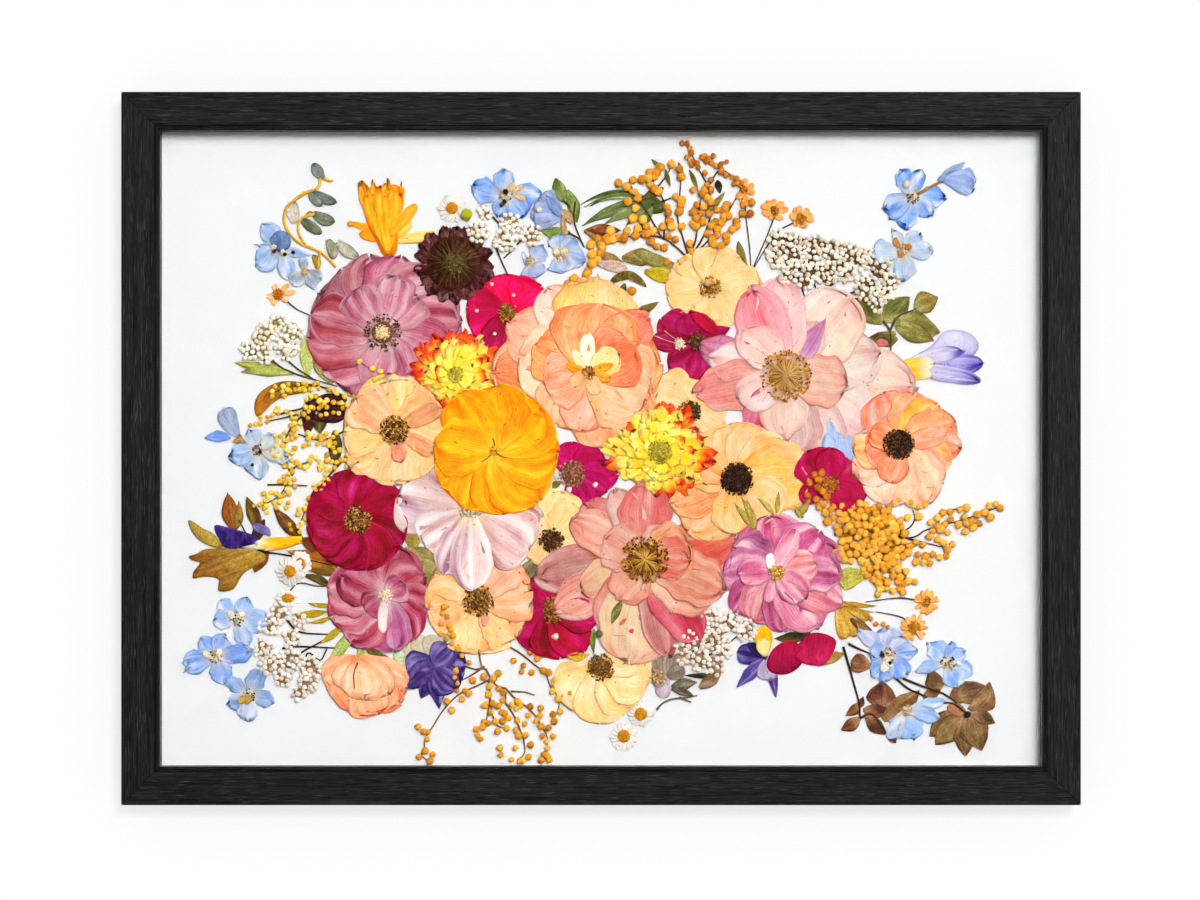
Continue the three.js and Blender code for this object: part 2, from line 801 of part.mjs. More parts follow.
// The plates of a specimen: each outline with how far it lies above the specimen's base, and its thickness.
function specimenPlates({ at, petals = [], blades = [], stems = [], heads = [], disc, rosette }) {
  const plates = petals.map(([column, row, width, shape], i) => [
    bladeOutline(at, [column, row], width, shape),
    (i % 2) * petalStagger,
    petalThickness,
  ]);
  const flat = [
    ...blades.map(([c0, r0, c1, r1, width, shape]) => bladeOutline([c0, r0], [c1, r1], width, shape)),
    ...stems.map(stemOutline),
    ...heads.map(([column, row, radius]) => discOutline([column, row], radius, radius, 6)),
  ];
  if (rosette) {
    const [column, row, radiusX, radiusZ, lobes] = rosette;
    flat.push(rosetteOutline([column, row], radiusX, radiusZ, lobes));
  }
  plates.push(...flat.map((outline) => [outline, 0, petalThickness]));
  if (disc) plates.push([discOutline(at, disc), 0, heartThickness]);
  return plates;
}

// Every specimen rests on those under it, one layer above the highest that it crosses.
const laid = [];

function levelOver(footprint) {
  const under = laid.filter((other) => other.footprint.intersect(footprint).volume() > 0.001);
  return under.reduce((level, other) => Math.max(level, other.level + 1), 0);
}

for (const specimen of specimens) {
  const plates = specimenPlates(specimen);
  const footprint = joined(plates.map(([outline]) => toSolid(plate(outline, 0, 1))));
  const level = levelOver(footprint);
  laid.push({ footprint, level });
  const base = boardFront - gap - level * levelPitch;
  const solids = plates.map(([outline, lift, thickness]) => toSolid(plate(outline, base - lift, thickness)));
  addPiece(specimen.name, toGeometry(joined(solids)), specimen.colour, 0.8);
}

export default group;
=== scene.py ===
import math

import bpy
import numpy as np
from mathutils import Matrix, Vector


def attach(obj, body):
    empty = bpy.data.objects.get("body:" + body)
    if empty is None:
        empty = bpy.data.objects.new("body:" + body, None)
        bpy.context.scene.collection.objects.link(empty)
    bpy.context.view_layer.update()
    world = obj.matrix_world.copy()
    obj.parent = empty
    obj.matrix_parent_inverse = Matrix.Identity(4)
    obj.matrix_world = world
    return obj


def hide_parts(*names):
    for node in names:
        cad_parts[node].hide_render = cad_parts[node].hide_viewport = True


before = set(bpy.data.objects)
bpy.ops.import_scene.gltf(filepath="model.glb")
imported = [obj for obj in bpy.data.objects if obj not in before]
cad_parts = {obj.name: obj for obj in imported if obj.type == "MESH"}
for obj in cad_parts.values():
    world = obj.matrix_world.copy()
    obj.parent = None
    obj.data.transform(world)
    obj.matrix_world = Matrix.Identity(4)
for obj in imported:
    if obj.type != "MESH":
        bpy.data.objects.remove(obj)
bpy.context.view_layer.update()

bpy.ops.object.select_all(action="DESELECT")

# ---- Places and sizes shared by all pieces, in metres ----
layout = {
    "square": 0.625e-3,       # one square of the layout grid on the board
    "middle": (601, 448.5),   # the grid's column and row in the middle of the frame
    "middleZ": -0.190,
    "boardY": -0.0097,        # front of the mount board
    "petalThick": 0.12e-3,
    "air": 0.05e-3,           # between one petal and the next
    "overlap": 1.22,          # how far broad petals lie over their neighbours
    "broad": 22,              # width from which a petal is broad, in squares
}
petalMesh = {
    "rowStep": 1.75e-3,       # length of one face along a petal
    "columnStep": 1.45e-3,    # width of one face across it
    "rows": (7, 24),          # fewest and most
    "columns": (4, 24),
    "rings": 7,               # of a patch, from its middle to its edge
    "stemStep": 2e-3,
}
rng = np.random.default_rng(7)
fullTurn = 2 * math.pi
looseTurn = 6.28             # for random turns


def linear(hexColour):
    # sRGB hex to linear colour
    channels = [int(hexColour[i:i + 2], 16) / 255 for i in (1, 3, 5)]
    return np.array([c / 12.92 if c <= 0.04045 else ((c + 0.055) / 1.055) ** 2.4 for c in channels])


def rgba(hexColour):
    return (*linear(hexColour), 1.0)


def place(column, row):
    x = (np.asarray(column, float) - layout["middle"][0]) * layout["square"]
    z = (layout["middle"][1] - np.asarray(row, float)) * layout["square"] + layout["middleZ"]
    return x, z


def smooth(t):
    t = np.clip(t, 0, 1)
    return t * t * (3 - 2 * t)


def waves(values, count, low, high):
    # a smooth random curve made of a few sines
    total = np.zeros_like(values, dtype=float)
    for _ in range(count):
        total += np.sin(values * rng.uniform(low, high) + rng.uniform(0, looseTurn))
    return total / count


def addNode(tree, kind, inputs=None, **settings):
    node = tree.nodes.new(kind)
    for key, value in settings.items():
        setattr(node, key, value)
    for key, value in (inputs or {}).items():
        if isinstance(value, bpy.types.NodeSocket):
            tree.links.new(value, node.inputs[key])
        else:
            node.inputs[key].default_value = value
    return node


# ---- The heap: how high the plants lie on the board, on a grid of 1 mm cells ----
heapGrid = {
    "cell": 1e-3,
    "left": -0.284,
    "top": layout["middleZ"] + 0.207,
    "cells": (414, 568),      # down and across
    "start": 0.9e-3,          # height of the lowest petals over the board
}
heap = np.full(heapGrid["cells"], heapGrid["start"])


def widen(part, reach):
    # every cell takes the highest value within reach
    for axis in (0, 1):
        wide = part.copy()
        for step in range(1, reach + 1):
            wide = np.maximum(wide, np.maximum(np.roll(part, step, axis), np.roll(part, -step, axis)))
        part = wide
    return part


def soften(part, reach):
    for _ in range(2):
        for axis in (0, 1):
            part = sum(np.roll(part, step, axis) for step in range(-reach, reach + 1)) / (2 * reach + 1)
    return part


def heapWindow(x, z, margin):
    row = (heapGrid["top"] - z) / heapGrid["cell"]
    column = (x - heapGrid["left"]) / heapGrid["cell"]
    r0, c0 = max(0, int(row.min()) - margin), max(0, int(column.min()) - margin)
    r1 = min(heap.shape[0], int(row.max()) + margin + 2)
    c1 = min(heap.shape[1], int(column.max()) + margin + 2)
    return row, column, r0, r1, c0, c1


def sample(part, row, column):
    row = np.clip(row, 0, part.shape[0] - 1.001)
    column = np.clip(column, 0, part.shape[1] - 1.001)
    r, c = row.astype(int), column.astype(int)
    fr, fc = row - r, column - c
    return (part[r, c] * (1 - fr) * (1 - fc) + part[r + 1, c] * fr * (1 - fc)
            + part[r, c + 1] * (1 - fr) * fc + part[r + 1, c + 1] * fr * fc)


def restOn(x, z, stiff=5):
    # height at which a petal lies on what is under it, bridging the hollows that its stiffness spans
    row, column, r0, r1, c0, c1 = heapWindow(x, z, 2 * stiff + 4)
    part = heap[r0:r1, c0:c1]
    close = soften(widen(part, 1), 1)
    bridged = soften(part, stiff)
    return sample(np.maximum(close, bridged), row - r0, column - c0)


def pressInto(x, z, height):
    row = np.clip(((heapGrid["top"] - z) / heapGrid["cell"]).round().astype(int), 0, heap.shape[0] - 1)
    column = np.clip(((x - heapGrid["left"]) / heapGrid["cell"]).round().astype(int), 0, heap.shape[1] - 1)
    np.maximum.at(heap, (row, column), height)


def finer(grid, times=3):
    # a grid of values with points added between its own
    for axis in (0, 1):
        n = grid.shape[axis]
        at = np.linspace(0, n - 1, (n - 1) * times + 1)
        low = np.minimum(at.astype(int), n - 2)
        part = (at - low).reshape((-1, 1) if axis == 0 else (1, -1))
        grid = np.take(grid, low, axis) * (1 - part) + np.take(grid, low + 1, axis) * part
    return grid


# ---- Shapes: where a petal is widest, how wide its base is, and how full its tip is ----
shapes = {
    "round": (0.62, 0.25, 2.3),
    "fan": (0.78, 0.15, 2.8),
    "spoon": (0.66, 0.18, 2.0),
    "tongue": (0.55, 0.6, 2.6),
    "point": (0.5, 0.25, 1.3),
    "lance": (0.42, 0.2, 1.2),
    "pod": (0.5, 0.45, 2.0),
}


def halfWidth(kind, u):
    widest, base, full = shapes[kind]
    before = base + (1 - base) * np.sin(np.clip(u / widest, 0, 1) * np.pi / 2)
    s = np.clip((u - widest) / (1 - widest), 0, 1)
    after = np.clip(1 - s ** full, 0, 1) ** (1 / full)
    return np.where(u < widest, before, after)


def shell(x, z, height, thick):
    # closed thin shell over a grid of points: top towards the viewer, bottom, and a rim between them
    rows, columns = x.shape
    y = layout["boardY"] - height
    top = np.stack([x, y, z], -1).reshape(-1, 3)
    bottom = np.stack([x, y + thick, z], -1).reshape(-1, 3)
    index = np.arange(rows * columns).reshape(rows, columns)
    a, b, c, d = index[:-1, :-1], index[1:, :-1], index[1:, 1:], index[:-1, 1:]
    n = rows * columns
    quads = [np.stack([a, b, c, d], -1).reshape(-1, 4), np.stack([a, d, c, b], -1).reshape(-1, 4) + n]
    for edge in (index[:, -1], index[::-1, 0], index[0, :], index[-1, ::-1]):
        quads.append(np.stack([edge[:-1], edge[1:], edge[1:] + n, edge[:-1] + n], -1))
    return np.concatenate([top, bottom]), np.concatenate(quads)


petalDefaults = {
    "frill": 0.045,      # how ragged the outline is
    "notch": 0.0,        # heart-shaped dent in the tip
    "ruffle": 0.25,      # waves along the rim, mm
    "cup": 0.5,          # how far the rim stands up, mm
    "pleats": 0.1,       # fine radial pleats, mm
    "throat": None,      # (colour, reach) at the petal's base
    "rim": None,         # (colour, amount) along its edge
    "tips": None,        # (colour, reach) at its tip
    "streak": 0.12,      # how much its colour varies across
    "blush": None,       # (colour, amount) in soft patches
    "wash": "#ffffff",   # colours the whole petal
    "stiff": 5,          # how many cells it bridges
}


def petal(base, tip, width, kind, tint, bend=0.0, finish="petal", **changes):
    v = {**petalDefaults, **changes}
    x0, z0 = place(*base)
    x1, z1 = place(*tip)
    length = math.hypot(x1 - x0, z1 - z0)
    wide = width * layout["square"]
    rows = int(np.clip(length / petalMesh["rowStep"], *petalMesh["rows"]))
    columns = int(np.clip(wide / petalMesh["columnStep"], *petalMesh["columns"])) + 1
    t = np.linspace(0, 1, rows)
    u = (1 - (1 - t) ** 1.5)[:, None] * np.ones((1, columns))
    s = np.linspace(-1, 1, columns)[None, :] * np.ones((rows, 1))
    across = s * np.maximum(halfWidth(kind, u), 0.07) * wide / 2
    ragged = (waves(s, 3, 4, 11) * u ** 3 + 0.5 * waves(s, 3, 14, 30) * u ** 6) * v["frill"]
    along = u * (1 + ragged - v["notch"] * np.exp(-(s / 0.22) ** 2) * u ** 5) * length
    across = across * (1 + waves(u * 2, 3, 5, 12) * v["frill"] * 1.3)
    ax, az = (x1 - x0) / length, (z1 - z0) / length
    bow = bend * layout["square"] * 4 * u * (1 - u)
    x = x0 + ax * along - az * (across + bow)
    z = z0 + az * along + ax * (across + bow)
    rimness = np.maximum(np.abs(s) ** 2.5 * smooth(u * 2.5), u ** 4)
    phase = rng.uniform(0, looseTurn)
    wave = np.sin(s * rng.uniform(4, 7) + u * rng.uniform(5, 9) + phase) + 0.5 * np.sin(u * 17 + s * 3 + phase)
    relief = 0.6 * v["cup"] * rimness + 0.6 * v["ruffle"] * rimness * wave
    relief = relief + v["pleats"] * np.cos(s * np.pi * 4.5 + phase + u * 1.5) * smooth(u * 2) * (1 - 0.4 * u)
    height = restOn(x, z, v["stiff"]) + np.maximum(relief * 1e-3, -0.03e-3) + layout["petalThick"] + layout["air"]
    pressInto(finer(x), finer(z), finer(height - np.maximum(relief * 1e-3, 0) * 0.45))
    vertices, quads = shell(x, z, height, layout["petalThick"])
    colour = petalColour(linear(tint), u, s, x, z, v)
    return {"vertices": vertices, "faces": quads, "u": np.tile(u.ravel(), 2), "s": np.tile(s.ravel(), 2),
            "tint": np.tile(colour.reshape(-1, 3), (2, 1)), "seed": rng.uniform(0, 50), "finish": finish}


def petalColour(body, u, s, x, z, v):
    colour = body * np.ones(u.shape + (3,))
    if v["throat"]:
        amount = (np.clip(1 - u / v["throat"][1], 0, 1) ** 1.3)[..., None]
        colour = colour * (1 - amount) + linear(v["throat"][0]) * amount
    if v["tips"]:
        amount = smooth((u - 1 + v["tips"][1]) / v["tips"][1])[..., None]
        colour = colour * (1 - amount) + linear(v["tips"][0]) * amount
    if v["rim"]:
        edge = smooth((np.maximum(np.abs(s) * smooth(u * 3), u) - 0.72) / 0.28)
        edge = (edge * v["rim"][1] * (0.75 + 0.5 * waves(u * 3 + s * 2, 3, 1, 4)))[..., None].clip(0, 1)
        colour = colour * (1 - edge) + linear(v["rim"][0]) * edge
    if v["blush"]:
        amount = (smooth(waves(s * 1.3 + u * 1.5, 3, 1, 3.5) * 1.4) * v["blush"][1] * (0.25 + 0.75 * u))[..., None]
        colour = colour * (1 - amount) + linear(v["blush"][0]) * amount
    depth = 1 + 2.4 * v["streak"] * waves(s, 3, 3, 16) * (0.4 + 0.6 * u) + 0.3 * waves(u * 2 + s, 3, 1, 4)
    colour = np.clip(colour, 0.002, 1) ** np.clip(depth, 0.45, 2.2)[..., None]
    shade = (1 + 0.05 * waves(x * 1e3 + z * 0.7e3, 3, 0.15, 0.6)) * rng.uniform(0.96, 1.04)
    return np.clip(colour * shade[..., None] * linear(v["wash"]), 0, 1)


def patch(outline, tint, finish="petal", dome=0.5, second=None, direction=(0, -1), **changes):
    # a petal, bell or bud of free outline: rings from its middle to its edge
    v = {**petalDefaults, **changes}
    x, z = place([p[0] for p in outline], [p[1] for p in outline])
    points = np.stack([x, z], -1)
    for _ in range(2):  # round the outline's corners
        after = np.roll(points, -1, 0)
        points = np.stack([points * 0.75 + after * 0.25, points * 0.25 + after * 0.75], 1).reshape(-1, 2)
    area = 0.5 * np.sum(points[:, 0] * np.roll(points[:, 1], -1) - np.roll(points[:, 0], -1) * points[:, 1])
    if area < 0:
        points = points[::-1]
    middle = points.mean(0)
    rings, n = petalMesh["rings"], len(points)
    r = (np.arange(rings) / (rings - 1)).clip(0.04)[:, None]
    px = middle[0] + (points[:, 0] - middle[0])[None, :] * r
    pz = middle[1] + (points[:, 1] - middle[1])[None, :] * r
    turn = np.linspace(0, 2 * np.pi, n, endpoint=False)[None, :] * np.ones((rings, 1))
    r = r * np.ones((1, n))
    relief = dome * (1 - r ** 2) + v["ruffle"] * r ** 2 * np.sin(turn * 5 + rng.uniform(0, 6)) * 0.6
    height = restOn(px, pz, 3) + (relief.clip(-0.1) * 1e-3) + layout["petalThick"] + layout["air"]
    pressInto(px, pz, height - relief.clip(0) * 0.7e-3)
    y = layout["boardY"] - height
    top = np.stack([px, y, pz], -1).reshape(-1, 3)
    bottom = top + np.array([0, layout["petalThick"], 0])
    index = np.arange(rings * n).reshape(rings, n)
    nxt = np.roll(index, -1, 1)
    count = rings * n
    a, b, c, d = index[:-1], index[1:], nxt[1:], nxt[:-1]
    faces = [np.stack([a, d, c, b], -1).reshape(-1, 4)[:, ::-1], np.stack([a, d, c, b], -1).reshape(-1, 4) + count]
    faces.append(np.stack([index[-1], index[-1] + count, nxt[-1] + count, nxt[-1]], -1))
    vertices = np.concatenate([top, bottom, top[:n].mean(0)[None], bottom[:n].mean(0)[None]])
    cap = 2 * count
    caps = [(cap, index[0, i], nxt[0, i]) for i in range(n)]
    caps += [(cap + 1, nxt[0, i] + count, index[0, i] + count) for i in range(n)]
    along = ((px - px.mean()) * direction[0] + (pz - pz.mean()) * direction[1])
    u = np.clip(0.5 + along / (np.ptp(along) + 1e-9), 0, 1)
    s = np.clip(((px - px.mean()) * direction[1] - (pz - pz.mean()) * direction[0]) / (np.ptp(px) / 2 + 1e-9), -1, 1)
    colour = linear(tint) * np.ones(u.shape + (3,))
    if second:
        colour = colour * (1 - smooth(u))[..., None] + linear(second) * smooth(u)[..., None]
    if v["rim"]:
        edge = (smooth((r - 0.7) / 0.3) * v["rim"][1])[..., None]
        colour = colour * (1 - edge) + linear(v["rim"][0]) * edge
    colour = colour * (1 + v["streak"] * waves(s, 3, 3, 14))[..., None]
    flat = colour.reshape(-1, 3)
    both = lambda values: np.concatenate([np.tile(values.ravel(), 2), [values[0, 0]] * 2])
    return {
        "vertices": vertices,
        "faces": np.concatenate(faces),
        "triangles": caps,
        "u": both(u),
        "s": both(s),
        "tint": np.concatenate([flat, flat, flat[:1], flat[:1]]).clip(0, 1),
        "seed": rng.uniform(0, 50),
        "finish": finish,
    }


def spline(points, step):
    # points at even steps on a smooth curve through the given ones
    points = np.asarray(points, float)
    padded = np.concatenate([2 * points[:1] - points[1:2], points, 2 * points[-1:] - points[-2:-1]])
    out = []
    for i in range(len(points) - 1):
        p0, p1, p2, p3 = padded[i:i + 4]
        count = max(2, int(np.linalg.norm(p2 - p1) / step))
        t = np.linspace(0, 1, count, endpoint=False)[:, None]
        out.append(0.5 * (2 * p1 + (p2 - p0) * t + (2 * p0 - 5 * p1 + 4 * p2 - p3) * t ** 2
                          + (3 * p1 - p0 - 3 * p2 + p3) * t ** 3))
    return np.concatenate(out + [points[-1:]])


def stem(points, width, tint, taper=0.6, sides=6):
    x, z = place([p[0] for p in points], [p[1] for p in points])
    path = spline(np.stack([x, z], -1), petalMesh["stemStep"])
    radius = width * layout["square"] / 2 * np.linspace(1, taper, len(path))
    radius = radius * (1 + 0.12 * waves(np.linspace(0, 30, len(path)), 3, 0.5, 2))
    heading = np.gradient(path, axis=0)
    heading /= np.linalg.norm(heading, axis=1)[:, None] + 1e-12
    height = restOn(path[:, 0], path[:, 1], 2) + radius * 0.75
    turn = np.linspace(0, 2 * np.pi, sides, endpoint=False)
    side = np.cos(turn)[None, :] * radius[:, None]
    out = np.sin(turn)[None, :] * radius[:, None] * 0.75
    px = path[:, :1] - heading[:, 1:] * side
    pz = path[:, 1:] + heading[:, :1] * side
    y = layout["boardY"] - height[:, None] - out
    pressInto(path[:, 0], path[:, 1], height + radius * 0.75)
    rows = len(path)
    vertices = np.stack([px, y, pz], -1).reshape(-1, 3)
    index = np.arange(rows * sides).reshape(rows, sides)
    nxt = np.roll(index, -1, 1)
    quads = np.stack([index[:-1], index[1:], nxt[1:], nxt[:-1]], -1).reshape(-1, 4)
    ends = np.array([vertices[:sides].mean(0), vertices[-sides:].mean(0)])
    n = rows * sides
    caps = [(n, index[0, i], nxt[0, i]) for i in range(sides)]
    caps += [(n + 1, nxt[-1, i], index[-1, i]) for i in range(sides)]
    u = np.linspace(0, 1, rows)[:, None] * np.ones((1, sides))
    colour = linear(tint) * np.ones((rows, sides, 3))
    colour = colour * (1 + 0.15 * waves(u * 9, 3, 1, 5))[..., None]
    s = np.linspace(-1, 1, sides)[None, :] * np.ones((rows, 1))
    return {"vertices": np.concatenate([vertices, ends]), "faces": quads, "triangles": caps,
            "u": np.append(u.ravel(), [0, 1]), "s": np.append(s.ravel(), [0, 0]),
            "tint": np.concatenate([colour.reshape(-1, 3), colour[0, :1], colour[-1, :1]]).clip(0, 1),
            "seed": rng.uniform(0, 50), "finish": "stem"}


def grain(x, z, size, tints, stretch=(1, 1, 0.8), lift=0.0, finish="pollen", faces=2, fuzz=0.1, spread=0.12,
          turns=None):
    # small round things that lie on the heap: pollen balls, florets, anthers
    x, z = np.atleast_1d(x).astype(float), np.atleast_1d(z).astype(float)
    size = np.broadcast_to(size, x.shape) * np.ones_like(x)
    height = restOn(x, z, 1) + size * 0.7 + lift
    for dx in (-0.7, 0, 0.7):
        for dz in (-0.7, 0, 0.7):
            pressInto(x + dx * size, z + dz * size, height + size * (0.5 if dx == dz == 0 else 0.1))
    palette = np.array([linear(t) for t in tints])
    pick = rng.integers(0, len(palette), len(x))
    tint = palette[pick] * (1 + spread * rng.standard_normal((len(x), 1)))
    if turns is None:
        turns = np.stack([np.zeros_like(x), rng.uniform(0, looseTurn, len(x)), np.zeros_like(x)], -1)
    return {"points": np.stack([x, layout["boardY"] - height, z], -1), "size": size, "tint": tint.clip(0, 1),
            "stretch": stretch, "turn": turns, "finish": finish, "subdivisions": faces, "fuzz": fuzz}


def scatter(column, row, inner, outer, count, squash=1.0):
    # random spots in a ring round a place on the layout grid
    turn = rng.uniform(0, looseTurn, count)
    reach = np.sqrt(rng.uniform(inner ** 2, outer ** 2, count))
    return place(column + reach * np.cos(turn), row + reach * np.sin(turn) * squash)


# ---- Geometry Nodes tree that puts a small faceted ball on every point ----
def makeGrainTree():
    tree = bpy.data.node_groups.new("grainsOnPoints", "GeometryNodeTree")
    sockets = {}
    for name, kind in (("Points", "NodeSocketGeometry"), ("Subdivisions", "NodeSocketInt"),
                       ("Fuzz", "NodeSocketFloat"), ("Fuzz scale", "NodeSocketFloat"),
                       ("Material", "NodeSocketMaterial")):
        sockets[name] = tree.interface.new_socket(name, in_out="INPUT", socket_type=kind).identifier
    tree.interface.new_socket("Mesh", in_out="OUTPUT", socket_type="NodeSocketGeometry")
    group = addNode(tree, "NodeGroupInput")
    ball = addNode(tree, "GeometryNodeMeshIcoSphere", {"Radius": 1.0, "Subdivisions": group.outputs["Subdivisions"]})
    size = addNode(tree, "GeometryNodeInputNamedAttribute", {"Name": "size"}, data_type="FLOAT")
    stretch = addNode(tree, "GeometryNodeInputNamedAttribute", {"Name": "stretch"}, data_type="FLOAT_VECTOR")
    turn = addNode(tree, "GeometryNodeInputNamedAttribute", {"Name": "turn"}, data_type="FLOAT_VECTOR")
    rotation = addNode(tree, "FunctionNodeEulerToRotation", {"Euler": turn.outputs["Attribute"]})
    scaled = addNode(tree, "ShaderNodeVectorMath",
                     {0: stretch.outputs["Attribute"], "Scale": size.outputs["Attribute"]}, operation="SCALE")
    placed = addNode(tree, "GeometryNodeInstanceOnPoints", {
        "Points": group.outputs["Points"], "Instance": ball.outputs["Mesh"],
        "Rotation": rotation.outputs["Rotation"], "Scale": scaled.outputs["Vector"]})
    real = addNode(tree, "GeometryNodeRealizeInstances", {"Geometry": placed.outputs["Instances"]})
    noise = addNode(tree, "ShaderNodeTexNoise", {"Scale": group.outputs["Fuzz scale"], "Detail": 2.0})
    centred = addNode(tree, "ShaderNodeMath", {0: noise.outputs["Fac"], 1: 0.45}, operation="SUBTRACT")
    amount = addNode(tree, "ShaderNodeMath", {0: centred.outputs[0], 1: group.outputs["Fuzz"]}, operation="MULTIPLY")
    normal = addNode(tree, "GeometryNodeInputNormal")
    offset = addNode(tree, "ShaderNodeVectorMath", {0: normal.outputs[0], "Scale": amount.outputs[0]},
                     operation="SCALE")
    moved = addNode(tree, "GeometryNodeSetPosition",
                    {"Geometry": real.outputs["Geometry"], "Offset": offset.outputs["Vector"]})
    finished = addNode(tree, "GeometryNodeSetMaterial", {"Geometry": moved.outputs["Geometry"],
                                                        "Material": group.outputs["Material"]})
    addNode(tree, "NodeGroupOutput", {"Mesh": finished.outputs["Geometry"]})
    return tree, sockets


grainTree, grainSockets = makeGrainTree()


def grainPart(g):
    # runs the tree on the points and takes its mesh apart for sheetObject
    mesh = bpy.data.meshes.new("grains")
    mesh.from_pydata(g["points"].tolist(), [], [])
    mesh.attributes.new("size", "FLOAT", "POINT").data.foreach_set("value", g["size"])
    stretch = np.tile(np.asarray(g["stretch"], float), (len(g["size"]), 1))
    mesh.attributes.new("stretch", "FLOAT_VECTOR", "POINT").data.foreach_set("vector", stretch.ravel())
    mesh.attributes.new("turn", "FLOAT_VECTOR", "POINT").data.foreach_set("vector", g["turn"].ravel())
    colour = np.concatenate([g["tint"], np.ones((len(g["tint"]), 1))], 1)
    mesh.attributes.new("tint", "FLOAT_COLOR", "POINT").data.foreach_set("color", colour.ravel())
    holder = bpy.data.objects.new("grains", mesh)
    bpy.context.scene.collection.objects.link(holder)
    modifier = holder.modifiers.new("grains", "NODES")
    modifier.node_group = grainTree
    modifier[grainSockets["Subdivisions"]] = g["subdivisions"]
    modifier[grainSockets["Fuzz"]] = float(g["fuzz"] * g["size"].mean() * 4)
    modifier[grainSockets["Fuzz scale"]] = float(1.1 / g["size"].mean())
    modifier[grainSockets["Material"]] = finishes[g["finish"]]
    graph = bpy.context.evaluated_depsgraph_get()
    plain = bpy.data.meshes.new_from_object(holder.evaluated_get(graph), preserve_all_data_layers=True,
                                            depsgraph=graph)
    count = len(plain.vertices)
    vertices = np.empty(count * 3)
    plain.vertices.foreach_get("co", vertices)
    corners = np.empty(len(plain.loops), dtype=int)
    plain.loops.foreach_get("vertex_index", corners)
    tint = np.empty(count * 4)
    plain.attributes["tint"].data.foreach_get("color", tint)
    bpy.data.objects.remove(holder)
    bpy.data.meshes.remove(plain)
    bpy.data.meshes.remove(mesh)
    return {"vertices": vertices.reshape(-1, 3), "faces": np.empty((0, 4), int), "triangles": corners.reshape(-1, 3),
            "u": np.full(count, 0.5), "s": np.zeros(count), "tint": tint.reshape(-1, 4)[:, :3], "seed": 1.0,
            "finish": g["finish"]}


def sheetObject(name, parts):
    # one mesh of all petals, leaves and stems of a specimen
    used = list(dict.fromkeys(part["finish"] for part in parts))
    vertices, quads, triangles, u, s, tint, seed, slots = [], [], [], [], [], [], [], []
    start = 0
    for part in parts:
        vertices.append(part["vertices"])
        quads += (part["faces"] + start).tolist()
        slots += [used.index(part["finish"])] * len(part["faces"])
        start += len(part["vertices"])
    start = 0
    for part in parts:
        extra = (np.asarray(part.get("triangles", np.empty((0, 3))), dtype=int) + start).tolist()
        triangles += extra
        slots += [used.index(part["finish"])] * len(extra)
        start += len(part["vertices"])
        u.append(part["u"])
        s.append(part["s"])
        tint.append(part["tint"])
        seed.append(np.full(len(part["vertices"]), part["seed"]))
    mesh = bpy.data.meshes.new(name)
    mesh.from_pydata(np.concatenate(vertices).tolist(), [], quads + triangles)
    mesh.polygons.foreach_set("material_index", slots)
    mesh.polygons.foreach_set("use_smooth", [True] * len(mesh.polygons))
    colour = np.concatenate([np.concatenate(tint), np.ones((start, 1))], 1)
    mesh.attributes.new("tint", "FLOAT_COLOR", "POINT").data.foreach_set("color", colour.ravel())
    grown = np.stack([np.concatenate(u), np.concatenate(s), np.concatenate(seed)], -1)
    mesh.attributes.new("grown", "FLOAT_VECTOR", "POINT").data.foreach_set("vector", grown.ravel())
    for finish in used:
        mesh.materials.append(finishes[finish])
    piece = bpy.data.objects.new(name, mesh)
    bpy.context.scene.collection.objects.link(piece)
    return piece


def specimen(name, parts, slot=None):
    node = None if slot else name  # without a slot of its own it stands for the CAD node of its name
    whole = sheetObject(name, [part if "faces" in part else grainPart(part) for part in parts])
    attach(whole, "root")
    if node:
        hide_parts(node)
    return whole


# ---- Finishes of the plants ----
finishes = {}
driedDefaults = {"veins": 0.5, "veinCount": 1, "crinkle": 0.5, "roughness": 0.6, "sheen": 0.0, "gloss": 0.2,
                 "alpha": 1.0, "spots": 0.07, "freckles": 0.0, "mottle": 0.32}
dried = {
    "petal": {"veinCount": 13, "crinkle": 0.55, "roughness": 0.62, "gloss": 0.09, "freckles": 0.75},
    "sheerPetal": {"veinCount": 14, "roughness": 0.5, "gloss": 0.12, "alpha": 0.74, "freckles": 0.75},
    "darkPetal": {"veins": 0.35, "veinCount": 9, "crinkle": 0.6, "roughness": 0.5, "gloss": 0.07},
    "blueFloret": {"veinCount": 12, "roughness": 0.65, "gloss": 0.12},
    "leaf": {"veins": 0.4, "veinCount": 7, "crinkle": 0.7, "spots": 0.45, "gloss": 0.15},
    "bract": {"veins": 0.55, "veinCount": 5, "roughness": 0.35},
    "stem": {"veins": 0.4, "veinCount": 3},
    "pollen": {"veins": 0.0, "crinkle": 1.0, "roughness": 0.85, "sheen": 0.05, "spots": 0.14, "mottle": 0.1},
    "floret": {"veins": 0.0, "crinkle": 0.9, "roughness": 0.8, "sheen": 0.1, "spots": 0.25},
}
tissueGrain = {
    "mottle": 170.0,          # patches of some 6 mm
    "crinkle": 850.0,         # wrinkles of 1 mm
    "freckle": 420.0,         # brown dots of 0.5 mm, some 2 mm apart
    "freckleTint": "#a8482c",
    "depth": 0.4e-3,
}


